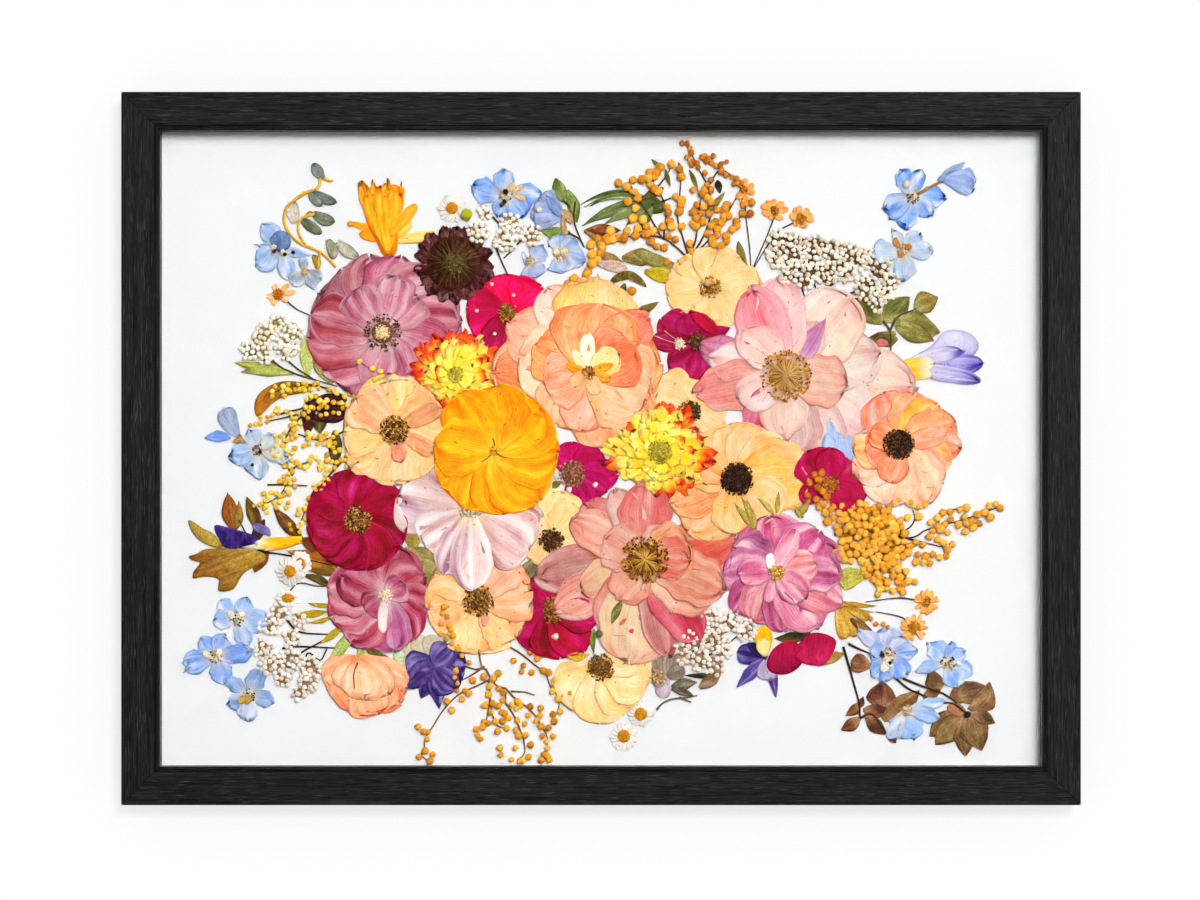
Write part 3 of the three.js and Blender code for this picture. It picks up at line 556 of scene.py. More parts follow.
def makeDriedFinish(name, v):
    # dried petal tissue: fine veins fan out from its base, and it is mottled and crinkled
    material = bpy.data.materials.new(name)
    material.use_nodes = True
    tree = material.node_tree
    tree.nodes.clear()
    tint = addNode(tree, "ShaderNodeAttribute", attribute_name="tint")
    grown = addNode(tree, "ShaderNodeAttribute", attribute_name="grown")
    place3d = addNode(tree, "ShaderNodeTexCoord")
    parts = addNode(tree, "ShaderNodeSeparateXYZ", {0: grown.outputs["Vector"]})
    fan = addNode(tree, "ShaderNodeMath", {0: parts.outputs["Y"], 1: float(v["veinCount"])}, operation="MULTIPLY")
    long = addNode(tree, "ShaderNodeMath", {0: parts.outputs["X"], 1: 1.6}, operation="MULTIPLY")
    veinSpace = addNode(tree, "ShaderNodeCombineXYZ",
                        {"X": fan.outputs[0], "Y": long.outputs[0], "Z": parts.outputs["Z"]})
    veins = addNode(tree, "ShaderNodeTexNoise",
                    {"Vector": veinSpace.outputs[0], "Scale": 1.6, "Detail": 3.0, "Roughness": 0.6})
    veinLines = addNode(tree, "ShaderNodeMapRange", {
        "Value": veins.outputs["Fac"],
        "From Min": 0.42,
        "From Max": 0.62,
        "To Min": 0.0,
        "To Max": v["veins"],
    })
    mottle = addNode(tree, "ShaderNodeTexNoise", {
        "Vector": place3d.outputs["Object"],
        "Scale": tissueGrain["mottle"],
        "Detail": 4.0,
        "Roughness": 0.65,
    })
    mottled = addNode(tree, "ShaderNodeMapRange", {"Value": mottle.outputs["Fac"], "From Min": 0.3, "From Max": 0.7,
                                                 "To Min": v["mottle"], "To Max": -0.5 * v["mottle"]})
    crinkle = addNode(tree, "ShaderNodeTexNoise", {
        "Vector": place3d.outputs["Object"],
        "Scale": tissueGrain["crinkle"],
        "Detail": 4.0,
        "Roughness": 0.7,
    })
    darker = addNode(tree, "ShaderNodeMath", {0: veinLines.outputs[0], 1: mottled.outputs[0]}, operation="ADD")
    depth = addNode(tree, "ShaderNodeMath", {0: darker.outputs[0], 1: 1.0}, operation="ADD")
    tissue = addNode(tree, "ShaderNodeGamma", {"Color": tint.outputs["Color"], "Gamma": depth.outputs[0]})
    spots = addNode(tree, "ShaderNodeMapRange", {"Value": crinkle.outputs["Fac"], "From Min": 0.3, "From Max": 0.7,
                                               "To Min": 1 - v["spots"], "To Max": 1 + v["spots"]})
    speckle = addNode(tree, "ShaderNodeTexNoise",
                      {"Vector": place3d.outputs["Object"], "Scale": tissueGrain["freckle"], "Detail": 1.0})
    freckles = addNode(tree, "ShaderNodeMapRange", {
        "Value": speckle.outputs["Fac"],
        "From Min": 0.715,
        "From Max": 0.76,
        "To Min": 0.0,
        "To Max": v["freckles"],
    })
    spotted = addNode(tree, "ShaderNodeMix",
                      {"Factor": freckles.outputs[0], "A": tissue.outputs[0], "B": rgba(tissueGrain["freckleTint"])},
                      data_type="RGBA")
    colour = addNode(tree, "ShaderNodeVectorMath", {0: spotted.outputs["Result"], "Scale": spots.outputs[0]},
                     operation="SCALE")
    rough = addNode(tree, "ShaderNodeMath", {0: crinkle.outputs["Fac"], 1: veins.outputs["Fac"]}, operation="ADD")
    bump = addNode(tree, "ShaderNodeBump",
                   {"Height": rough.outputs[0], "Strength": v["crinkle"], "Distance": tissueGrain["depth"]})
    surface = addNode(tree, "ShaderNodeBsdfPrincipled", {
        "Base Color": colour.outputs["Vector"], "Roughness": v["roughness"], "Normal": bump.outputs[0],
        "Sheen Weight": v["sheen"], "Sheen Roughness": 0.5, "Specular IOR Level": v["gloss"], "Alpha": v["alpha"]})
    addNode(tree, "ShaderNodeOutputMaterial", {"Surface": surface.outputs[0]})
    return material


for finishName, values in dried.items():
    finishes[finishName] = makeDriedFinish(finishName, {**driedDefaults, **values})
print("finishes of the plants made")


# ---- Flowers ----
def ownLook(own, kind, tint):
    # a row's own shape, colour and bend, or else those of all rows and a random bend
    kind = next((value for value in own if value in shapes), kind)
    tint = next((value for value in own if str(value).startswith("#")), tint)
    bends = [value for value in own if not isinstance(value, str)]
    return kind, tint, bends[0] if bends else rng.uniform(-2, 2)


def petals(at, rows, tint, finish="petal", kind="round", **look):
    # each row: column and line of a petal's tip, its width, and what is its own
    made = []
    for column, line, width, *own in rows:
        shape, colour, bend = ownLook(own, kind, tint)
        if shape in ("round", "fan") and width > layout["broad"]:
            width *= layout["overlap"]
        made.append(petal(at, (column, line), width, shape, colour, bend, finish, **look))
    return made


def blades(rows, tint, finish="leaf", kind="point", **look):
    # each row: column and line of a leaf's base and of its tip, its width, and what is its own
    look = {"frill": 0.04, "cup": 0.3, "ruffle": 0.35, "pleats": 0.05, **look}
    made = []
    for column, line, tipColumn, tipLine, width, *own in rows:
        shape, colour, bend = ownLook(own, kind, tint)
        made.append(petal((column, line), (tipColumn, tipLine), width, shape, colour, bend, finish, **look))
    return made


def ring(at, count, reach, width, kind, tints, finish="petal", start=0.0, **look):
    # a whorl of equal petals
    made = []
    for i in range(count):
        turn = start + (i + rng.uniform(-0.2, 0.2)) / count * fullTurn
        far = reach * (1 + rng.uniform(-0.06, 0.06))
        tip = (at[0] + far * math.cos(turn), at[1] + far * math.sin(turn))
        made.append(petal(at, tip, width, kind, tints[i % len(tints)], rng.uniform(-2, 2), finish, **look))
    return made


def circle(at, radius, squash=1.0, sides=9, ragged=0.1):
    return [(at[0] + radius * (1 + rng.uniform(-ragged, ragged)) * math.cos(i / sides * fullTurn),
             at[1] + radius * squash * (1 + rng.uniform(-ragged, ragged)) * math.sin(i / sides * fullTurn))
            for i in range(sides)]


def heart(at, radius, disc, anthers, count, size=0.55e-3, inner=0.0, threads=0, threadTint="#d0a030",
          core=None, squash=1.0, stretch=(1.5, 1, 0.9)):
    # the middle of a blossom: a disc, threads that stand out of it, and anthers
    made = []
    if disc:
        made.append(patch(circle(at, (core or radius * 0.75), squash), disc, "pollen", dome=0.5))
    for _ in range(threads):
        turn, far = rng.uniform(0, looseTurn), radius * rng.uniform(0.75, 1.08)
        tip = (at[0] + far * math.cos(turn), at[1] + far * math.sin(turn) * squash)
        mid = ((at[0] + tip[0]) / 2 + rng.uniform(-1, 1), (at[1] + tip[1]) / 2 + rng.uniform(-1, 1))
        made.append(stem([at, mid, tip], 0.9, threadTint, sides=4))
    count = int(count * 1.6)
    x, z = scatter(at[0], at[1], inner, radius, count, squash)
    turns = np.stack([np.zeros(count), rng.uniform(0, looseTurn, count), np.zeros(count)], -1)
    made.append(grain(x, z, size * rng.uniform(0.7, 1.3, count), anthers, stretch=stretch,
                      faces=1, fuzz=0.15, spread=0.2, turns=turns))
    return made


def cluster(heads, spacing, size, tints, gap):
    # flower heads of many tiny florets packed side by side
    made = []
    spots = []
    for column, line, radius in heads:
        made.append(patch(circle((column, line), radius * 0.78, ragged=0.15), gap, "leaf", dome=0.1))
        for _ in range(int(22 * (radius / spacing) ** 2)):
            turn, far = rng.uniform(0, looseTurn), radius * math.sqrt(rng.uniform(0, 1))
            spot = (column + far * math.cos(turn), line + far * math.sin(turn))
            if all((spot[0] - o[0]) ** 2 + (spot[1] - o[1]) ** 2 > spacing ** 2 for o in spots):
                spots.append(spot)
    x, z = place([p[0] for p in spots], [p[1] for p in spots])
    made.append(grain(x, z, size * rng.uniform(0.75, 1.2, len(spots)), tints, stretch=(1.1, 0.95, 1.0),
                      finish="floret", fuzz=0.25, spread=0.06, lift=0.5e-3))
    return made


def denser(spots, share, reach):
    # more balls beside the given ones
    more = []
    for column, line in spots:
        if rng.uniform() < share:
            turn = rng.uniform(0, looseTurn)
            more.append((column + reach * math.cos(turn), line + reach * math.sin(turn)))
    return list(spots) + more


def balls(spots, radius, tints, fuzz=0.22):
    x, z = place([p[0] for p in spots], [p[1] for p in spots])
    size = radius * layout["square"] * rng.uniform(0.85, 1.15, len(spots))
    return [grain(x, z, size, tints, stretch=(1.0, 0.85, 1.0), fuzz=fuzz)]


def stems(lines, width, tint, **more):
    return [stem(points, width, tint, **more) for points in lines]


# ---- The bouquet, from what lies next to the board to what lies on top ----
mimosaLeft = {
    "balls": [
        (270, 391), (270, 396), (281, 386), (286, 384), (280, 391), (293, 389), (296, 384), (304, 384), (301, 388),
        (308, 389), (312, 384), (317, 388), (327, 389), (335, 393), (343, 396), (309, 396), (314, 396), (309, 407),
        (317, 401), (325, 400), (325, 407), (337, 403), (337, 413), (345, 404), (351, 401), (351, 408), (358, 406),
        (341, 408), (306, 418), (319, 415), (317, 408), (302, 414), (296, 413), (284, 411), (253, 424), (258, 423),
        (265, 422), (270, 415), (276, 413), (290, 418), (289, 425), (294, 428), (298, 423), (283, 432), (278, 436),
        (285, 440), (280, 445), (273, 446), (284, 450), (278, 452), (285, 455), (290, 453), (272, 456), (281, 458),
        (289, 460), (283, 466), (290, 472), (286, 474), (292, 480), (288, 484), (283, 483), (285, 490), (287, 494),
        (274, 494), (266, 497), (263, 501), (272, 503), (278, 502), (264, 506), (257, 505), (284, 508), (265, 513),
        (294, 436), (306, 438), (312, 437), (318, 436), (322, 438), (316, 444), (307, 444), (322, 444), (331, 437),
        (333, 443), (331, 448), (338, 450), (345, 455), (340, 460), (345, 466), (333, 468), (325, 470), (323, 475),
        (326, 480), (318, 484), (314, 490), (316, 495), (312, 498), (308, 505), (303, 510), (296, 515), (303, 520),
        (296, 527), (289, 530), (298, 466), (306, 466), (310, 456), (317, 461), (322, 466), (325, 455), (330, 462),
    ],
    "stems": [
        [(277, 414), (288, 411), (297, 409), (310, 404), (330, 398)],
        [(290, 476), (292, 468), (300, 464), (308, 462)], [(265, 485), (285, 485), (305, 486)],
        [(343, 396), (325, 388), (305, 384), (286, 386), (270, 393)],
        [(310, 406), (292, 424), (283, 440), (284, 460), (287, 476), (278, 495), (260, 506)],
        [(343, 396), (345, 430), (344, 455), (325, 478), (310, 494), (298, 524)],
        [(345, 430), (320, 440), (296, 434)], [(320, 395), (300, 412), (262, 422)],
    ],
    "leaves": [
        [306, 400, 305, 436, 15, "#5a1414"], [318, 412, 318, 433, 16, "#6a6014"],
        [333, 430, 334, 470, 15, "lance", "#5a4a10"], [345, 398, 303, 405, 20, "#4a0a18"],
        [352, 410, 310, 418, 16, "#4a1018"],
    ],
    "fan": [
        (312, 384), (282, 379), (262, 387), (251, 400), (253, 418), (260, 414), (268, 404), (285, 394), (308, 392),
    ],
}
specimen(
    "mimosa_left",
    [patch(mimosaLeft["fan"], "#8a6a10", "leaf", second="#c07a10", direction=(-1, -1), dome=0.4)]
    + blades(mimosaLeft["leaves"], "#5a1414")
    + stems(mimosaLeft["stems"], 2.2, "#6a5018")
    + balls(denser(mimosaLeft["balls"], 0.9, 5.5), 2.5, ["#f8d048", "#f2c034", "#fadc68", "#e8b028"]))

oakLeaves = {
    "maple": [
        (262, 553), (245, 550), (230, 548), (212, 549), (200, 550), (193, 555), (184, 557), (190, 562), (198, 563),
        (194, 568), (190, 573), (189, 581), (200, 577), (216, 579), (217, 585), (214, 593), (230, 592), (234, 586),
        (237, 580), (243, 572), (258, 565), (264, 560),
    ],
    "olive": [
        (184, 519), (192, 523), (200, 529), (212, 534), (222, 548), (214, 549), (205, 546), (196, 541), (188, 532),
    ],
    "leaves": [
        [232, 532, 225, 493, 18, "#9c5a14"], [234, 530, 236, 501, 10, "lance", "#a08030"],
        [258, 532, 244, 497, 14, "#7a5a10"], [300, 540, 272, 508, 14, "#7a4a10"], [265, 550, 252, 573, 16, "#8a4a10"],
        [336, 567, 286, 552, 17, "#b87a18"], [320, 551, 298, 539, 14, "#8a5010"],
        [338, 574, 303, 570, 10, "lance", "#8a6418"], [329, 587, 301, 575, 9, "lance", "#6a5418"],
        [250, 545, 262, 520, 12, "#5a4010"],
    ],
    "stems": [[(262, 553), (250, 545), (236, 520)], [(262, 553), (285, 556), (330, 566)], [(250, 545), (258, 528)]],
}
specimen(
    "oak_leaves",
    blades(oakLeaves["leaves"], "#8a5a10")
    + [patch(oakLeaves["olive"], "#bca04a", "leaf", rim=("#8a7a30", 0.5)),
       patch(oakLeaves["maple"], "#b8963a", "leaf", second="#945c14", direction=(-1, -0.4), ruffle=0.8)]
    + stems(oakLeaves["stems"], 2, "#4a3410"))

riceLeft = {
    "heads": [
        (276, 323, 9), (291, 331, 11), (262, 333, 11), (285, 346, 13), (256, 346, 12), (246, 350, 9), (264, 357, 7),
    ],
    "leaves": [
        [292, 373, 232, 362, 11, "#b8b850"], [288, 372, 239, 371, 13, "#b9bd6a"], [306, 376, 301, 335, 14, "#c8cc80"],
        [332, 382, 313, 345, 20, "#a89858"],
    ],
    "stems": [
        [(262, 350), (275, 364), (290, 372), (312, 379), (336, 386)], [(280, 355), (295, 368), (312, 379)],
        [(246, 350), (263, 358), (275, 364)],
    ],
}
specimen(
    "rice_flower_left",
    blades(riceLeft["leaves"], "#b8b850", rim=("#7a7a30", 0.4))
    + stems(riceLeft["stems"], 2.2, "#6a5a18")
    + cluster(riceLeft["heads"], 3.9, 1.5e-3, ["#fbf2e0", "#f4e8d2", "#fff8ea"], gap="#a8905a"))

podSprig = {
    "stems": [
        [(306, 190), (297, 195), (290, 200), (284, 206), (282, 214), (282, 221), (286, 230), (293, 238), (300, 243),
         (308, 246), (317, 250), (325, 256), (334, 266)],
        [(313, 212), (303, 215), (298, 219), (296, 226), (297, 233), (303, 243)],
        [(318, 176), (317.5, 183), (314, 187), (306, 190)], [(322, 176), (328, 179), (331, 178.5)],
        [(306, 191), (302, 191), (296, 195)], [(316, 268), (317, 258), (318, 251)],
    ],
    "pods": [
        [321, 177, 311, 161, 12, "pod", "#8a9088"], [310, 190, 335, 201, 11, "pod", "#7f8b80"],
        [307, 192, 320, 204, 9, "pod", "#868c7c"], [292, 222, 291, 199, 14, "pod", "#d8cfc0"],
        [311, 212, 333, 220, 13, "pod", "#848a74"], [299, 217, 320, 232, 11, "pod", "#80866c"],
        [326, 238, 332, 258, 12, "pod", "#a8a48c"], [335, 240, 357, 256, 13, "pod", "#c8c2ae"],
        [303, 215, 313, 212, 5, "pod", "#b88a28"], [316, 268, 311, 253, 8, "pod", "#b8a030"],
    ],
}
specimen(
    "pod_sprig",
    blades(podSprig["pods"], "#7f8b80", cup=0.1, ruffle=0.08, pleats=0.15, tips=("#2a2218", 0.16),
           rim=("#55584c", 0.45))
    + stems(podSprig["stems"], 3.1, "#e8b83c", taper=0.8))

fern = [
    [650, 197, 580, 203, 7, "lance", "#6f8446", -9], [650, 199, 585, 205, 6, "lance", "#7d8b52", -8],
    [650, 201, 591, 204, 6, "lance", "#7d8b52", -8], [652, 203, 583, 224, 14, "lance", "#7d8b52", -6],
    [652, 206, 604, 223, 12, "lance", "#84905a", -4], [652, 209, 626, 224, 10, "lance", "#8a905a", -2],
    [640, 196, 668, 209, 18, "#6b7a3c"], [652, 205, 640, 232, 10, "lance", "#7d8b52"],
]
specimen(
    "fern_leaf",
    blades(fern, "#7d8b52", rim=("#5f7a3c", 0.4)) + stems([[(652, 203), (662, 200), (672, 196)]], 2.4, "#5a5020"),
    slot="leaf_sprig_right")

sprigTop = [[563, 200, 555, 176, 15], [567, 188, 577, 221, 13], [570, 231, 538, 229, 12], [552, 233, 548, 246, 6]]
specimen(
    "leaf_sprig_top",
    blades(sprigTop, "#8a9a50", rim=("#7a5a24", 0.7))
    + stems([[(575, 200), (574, 220), (583, 244)], [(568, 231), (580, 238), (584, 246)], [(562, 198), (570, 205)]],
            2.2, "#5a4520"),
    slot="leaf_sprig_right")

mimosaTop = {
    "left": [
        (633, 178), (642, 178), (627, 185), (634, 190), (638, 196), (628, 200), (636, 207), (633, 217), (643, 218),
        (647, 225), (627, 229), (638, 227), (646, 233), (654, 230), (663, 225), (672, 225), (682, 225), (636, 234),
        (624, 237), (618, 236), (612, 238), (606, 237), (602, 246), (600, 252), (598, 258), (592, 262), (588, 270),
        (591, 243), (650, 170), (657, 170), (661, 165), (672, 162), (649, 177), (651, 183), (655, 187), (659, 190),
    ],
    "right": [
        (667, 205), (669, 211), (680, 210), (682, 175), (676, 195), (682, 198), (682, 203), (694, 188), (703, 192),
        (708, 196), (697, 203), (704, 205), (712, 200), (694, 210), (702, 212), (710, 212), (718, 208), (697, 217),
        (693, 222), (703, 220), (714, 222), (718, 228), (651, 240), (657, 245), (665, 246), (676, 238), (692, 250),
        (687, 257), (680, 262), (667, 260), (722, 222), (733, 228), (738, 224), (727, 235), (718, 233), (708, 232),
        (713, 238), (722, 245), (728, 240), (737, 220), (744, 212), (745, 202), (712, 224), (728, 203), (724, 208),
        (729, 214),
    ],
    "chain": [
        (683, 141), (688, 141), (691, 146), (692, 151), (688, 155), (693, 159), (698, 161), (703, 155), (708, 159),
        (713, 161), (717, 164), (714, 154), (699, 165), (706, 171), (712, 178), (708, 183), (712, 189), (722, 162),
        (722, 170), (727, 173), (733, 175), (735, 182), (742, 181),
    ],
    "leaves": [
        [652, 157, 664, 165, 4, "lance", "#7a7a30"], [666, 167, 671, 185, 5, "lance", "#7a7a30"],
        [679, 160, 683, 178, 5, "lance", "#8a8030"], [690, 168, 699, 190, 5, "lance", "#7a7028"],
        [718, 178, 721, 192, 8, "lance", "#3a3414"], [706, 210, 726, 190, 8, "lance", "#9a8a40"],
        [664, 186, 640, 199, 10, "lance", "#6a5a28"], [700, 253, 712, 244, 8, "lance", "#8a8038"],
    ],
    "stems": [
        [(690, 258), (684, 238), (678, 215), (680, 196), (682, 176)],
        [(690, 258), (697, 235), (700, 205), (706, 184)],
        [(690, 258), (704, 235), (712, 210), (709, 186), (699, 166), (688, 143)],
        [(690, 258), (715, 232), (735, 200), (743, 184)],
        [(690, 258), (676, 245), (662, 236), (640, 234), (618, 237), (604, 240), (600, 250), (592, 262), (587, 271)],
        [(662, 236), (650, 215), (640, 200), (630, 182)], [(664, 238), (666, 205), (652, 178)],
        [(709, 184), (722, 168), (742, 182)], [(690, 258), (720, 244), (742, 214)],
        [(656, 188), (668, 172), (672, 163)],
    ],
}
specimen(
    "mimosa_top",
    stems(mimosaTop["stems"], 2.0, "#6a4018")
    + blades(mimosaTop["leaves"], "#7a7a30")
    + balls(denser(mimosaTop["left"], 0.2, 9), 4.2, ["#f0a830", "#e89c28", "#f4b444", "#dc9020"], fuzz=0.3)
    + balls(denser(mimosaTop["right"], 0.4, 8), 3.8, ["#dc9428", "#e8a034", "#cc8420", "#e49a2c"], fuzz=0.3)
    + balls(denser(mimosaTop["chain"], 0.5, 6), 2.7, ["#c87a20", "#b86c18", "#d48a28"], fuzz=0.3))

orangeDaisies = {
    "tops": [
        ((745, 188), [(737, 180), (746, 176), (755, 182), (756, 192), (749, 199), (738, 197)], 4),
        ((776, 209), [(767, 199), (776, 197), (785, 200), (790, 208), (784, 218), (771, 218), (763, 211), (762, 204)],
         5),
        ((802, 217), [(795, 206), (801, 204), (809, 206), (814, 212), (816, 219), (808, 226), (797, 225), (791, 212)],
         6),
    ],
    "stems": [
        [(745, 193), (747, 215), (751, 250), (752, 272)], [(776, 214), (768, 235), (757, 260), (752, 272)],
        [(795, 221), (780, 229), (775, 235), (765, 250), (752, 272)],
    ],
}
parts = stems(orangeDaisies["stems"], 1.6, "#5a4030") + blades([[739, 240, 749, 265, 8, "lance"]], "#8a7a30")
for middle, tips, core in orangeDaisies["tops"]:
    parts += petals(middle, [[c, r, 7, "spoon"] for c, r in tips], "#f6b868", cup=0.4, rim=("#e89838", 0.3))
    parts += heart(middle, core, "#a86414", ["#c07818", "#d88a10", "#8a5010"], 26, size=0.42e-3, core=core * 0.9)
specimen("orange_daisies_top", parts + balls([(751, 212)], 3.5, ["#b05a10"]), slot="mimosa_top")

yarrowRight = {
    "heads": [
        (782, 240, 13), (799, 243, 14), (818, 246, 13), (836, 250, 13), (853, 254, 13), (868, 258, 12),
        (882, 268, 12), (892, 280, 9), (884, 292, 12), (878, 304, 8), (868, 284, 12), (779, 256, 12), (795, 262, 14),
        (812, 268, 14), (828, 272, 12), (846, 268, 12), (790, 274, 9), (806, 280, 9), (868, 296, 7),
    ],
    "stems": [
        [(788, 232), (790, 245), (792, 262), (800, 278), (806, 295)],
        [(812, 240), (814, 262), (815, 278), (818, 292), (816, 306)], [(838, 280), (826, 290), (820, 306)],
        [(850, 293), (862, 288), (870, 280)], [(822, 309), (833, 300), (850, 293)],
    ],
}
specimen(
    "yarrow_right",
    stems(yarrowRight["stems"], 2.4, "#4a2a12")
    + cluster(yarrowRight["heads"], 4.1, 1.5e-3, ["#f8eedc", "#efe2ce", "#e4d4bc", "#fbf4e6"], gap="#7c5c3c"))

sprigRight = [
    [917, 308, 940, 296, 17, "#8a7a30"], [885, 320, 912, 296, 18, "#7a8040"], [895, 318, 942, 332, 22, "#8f9050"],
    [898, 325, 936, 340, 16, "#8a8440"], [898, 332, 864, 342, 10, "#6a5a28"],
    [900, 338, 876, 340, 10, "lance", "#7a7038"], [885, 322, 857, 297, 14, "#7a7a3c"],
]
specimen(
    "leaf_sprig_right",
    blades([[*row[:4], row[4] * 1.4, *row[5:]] for row in sprigRight], "#968e50", rim=("#a85a30", 0.55),
           throat=("#a8a060", 0.6))
    + petals((890, 342), [[877, 345, 8, "pod"], [878, 341, 5, "pod"]], "#e08888", cup=0.1)
    + stems([[(885, 320), (892, 330), (893, 345), (891, 360), (885, 368)], [(892, 330), (900, 316), (918, 308)]], 2.4,
            "#6a5a28"))

mimosaRight = {
    "heads": [
        (850, 516, 11), (866, 514, 12), (882, 516, 12), (850, 534, 13), (868, 533, 14), (886, 534, 13),
        (848, 552, 12), (864, 552, 13), (882, 552, 13), (900, 548, 12), (898, 530, 10), (876, 570, 11),
        (892, 566, 11), (884, 584, 9), (902, 576, 9),
    ],
    "edge": [
        (855, 515), (862, 512), (867, 505), (880, 507), (893, 505), (900, 500), (907, 500), (912, 503), (920, 507),
        (927, 505), (921, 517), (910, 518), (904, 528), (905, 585), (910, 582), (917, 583), (902, 590), (905, 593),
        (895, 592), (888, 590), (880, 595), (933, 523), (940, 518), (945, 513), (953, 512), (963, 510), (969, 508),
        (967, 517), (940, 527), (947, 525), (953, 520), (943, 530), (935, 532), (950, 533), (961, 525), (969, 524),
        (968, 532), (976, 528), (974, 523), (982, 524), (980, 515), (987, 513), (993, 518), (992, 506), (999, 504),
        (1003, 508), (932, 537), (940, 540), (946, 543), (955, 545), (950, 550), (942, 558), (949, 557), (935, 555),
        (928, 557), (920, 555), (932, 564), (926, 563), (918, 563), (925, 545), (918, 543), (912, 547), (821, 507),
        (828, 501), (827, 513), (835, 507), (834, 518), (841, 513), (829, 522), (838, 527), (843, 521),
    ],
    "stems": [
        [(903, 533), (912, 528), (917, 520), (915, 510)],
        [(836, 535), (870, 532), (905, 538), (918, 537), (930, 530), (966, 520), (1003, 507)],
        [(905, 538), (946, 548)], [(940, 528), (945, 513), (969, 508)], [(880, 545), (895, 570), (912, 584)],
    ],
}
mimosaRightFill = []
for column, line, radius in mimosaRight["heads"]:
    for _ in range(int(radius * 5)):
        turn, far = rng.uniform(0, looseTurn), radius * math.sqrt(rng.uniform(0, 1))
        spot = (column + far * math.cos(turn), line + far * math.sin(turn))
        if all((spot[0] - o[0]) ** 2 + (spot[1] - o[1]) ** 2 > 25 for o in mimosaRightFill + mimosaRight["edge"]):
            mimosaRightFill.append(spot)
specimen(
    "mimosa_right",
    [patch(circle((h[0], h[1]), h[2] * 0.8), "#b07c14", "leaf", dome=0.1) for h in mimosaRight["heads"]]
    + stems(mimosaRight["stems"], 2.0, "#5a4010")
    + balls(mimosaRightFill + mimosaRight["edge"], 3.7, ["#eaa630", "#f0b03c", "#de9826", "#f4ba4a"], fuzz=0.28)
    + blades([[870, 575, 842, 583, 22, "fan", "#c8c060"]], "#c8c060"))

mimosaLow = {
    "stems": [
        [(478, 653), (481, 668), (486, 672)], [(484, 668), (475, 671), (462, 667)],
        [(484, 668), (470, 677), (455, 685)],
        [(485, 670), (490, 680), (497, 688), (505, 690), (512, 698), (525, 708), (535, 718), (542, 730), (547, 740),
         (546, 762)],
        [(487, 682), (475, 688), (460, 695), (450, 703), (440, 715), (432, 728), (424, 740), (423, 750), (420, 757),
         (428, 764)], [(488, 680), (489, 700), (487, 715), (485, 725)], [(492, 718), (497, 728), (505, 730)],
        [(505, 705), (512, 715), (518, 728), (523, 742), (524, 755), (518, 762)],
        [(510, 693), (525, 694), (534, 697)],
        [(500, 643), (520, 655), (535, 667), (545, 675), (550, 688), (557, 697), (559, 707), (557, 713)],
        [(489, 700), (492, 718)], [(505, 690), (505, 705)],
    ],
    "balls": [
        (454, 679), (456, 692), (464, 692), (468, 695), (461, 701), (446, 703), (451, 712), (422, 733), (426, 741),
        (424, 753), (418, 759), (429, 763), (468, 664), (472, 682), (483, 678), (493, 680), (489, 688), (488, 696),
        (498, 690), (503, 694), (502, 702), (484, 707), (492, 705), (497, 708), (490, 714), (483, 723), (488, 725),
        (482, 729), (475, 731), (477, 737), (480, 741), (497, 733), (506, 730), (504, 715), (508, 720), (502, 723),
        (515, 732), (518, 738), (517, 722), (524, 726), (511, 706), (517, 703), (520, 707), (530, 708), (528, 717),
        (536, 722), (540, 717), (541, 728), (548, 730), (542, 738), (553, 738), (547, 750), (547, 758), (530, 747),
        (515, 750), (500, 757), (511, 762), (519, 763), (528, 759), (541, 762), (549, 762), (553, 716), (554, 722),
        (560, 713), (558, 700), (562, 697), (552, 693), (543, 672), (548, 674), (554, 682), (531, 674), (521, 673),
        (513, 662), (523, 667), (537, 660), (530, 654),
    ],
}
specimen(
    "mimosa_low",
    stems(mimosaLow["stems"], 2.0, "#8a6238")
    + balls(denser(mimosaLow["balls"], 0.25, 7), 3.2, ["#eea41c", "#e09414", "#f4b030", "#d08a18"]))

yarrowLowLeft = {
    "heads": [
        (278, 615, 11), (298, 622, 8), (268, 627, 11), (262, 650, 11), (290, 640, 10), (270, 665, 13), (288, 662, 12),
        (280, 680, 9), (308, 670, 12), (306, 685, 10), (297, 695, 7),
    ],
    "stems": [
        [(284, 620), (297, 633), (330, 636)], [(280, 650), (297, 648), (345, 650)],
        [(285, 668), (298, 655), (310, 648), (325, 640), (340, 632)],
        [(300, 690), (305, 655), (318, 662), (325, 650)],
    ],
}
specimen(
    "yarrow_low_left",
    stems(yarrowLowLeft["stems"], 2.2, "#4a3018")
    + cluster(yarrowLowLeft["heads"], 4.1, 1.5e-3, ["#fbf2e8", "#f4e8da", "#ecdccc"], gap="#a88a68"))
specimen(
    "yarrow_low_right",
    stems([[(668, 672), (690, 655), (715, 640), (735, 628)], [(700, 661), (722, 650), (745, 632)]], 2.2, "#5a3c20")
    + cluster([
        (712, 617, 9), (730, 622, 11), (715, 636, 13), (747, 631, 11), (722, 650, 12), (694, 643, 12), (685, 655, 12),
        (700, 661, 11), (715, 666, 11),
    ], 4.1, 1.5e-3, ["#fbf2e8", "#f4e8da", "#ecdccc"], gap="#a88a68"))

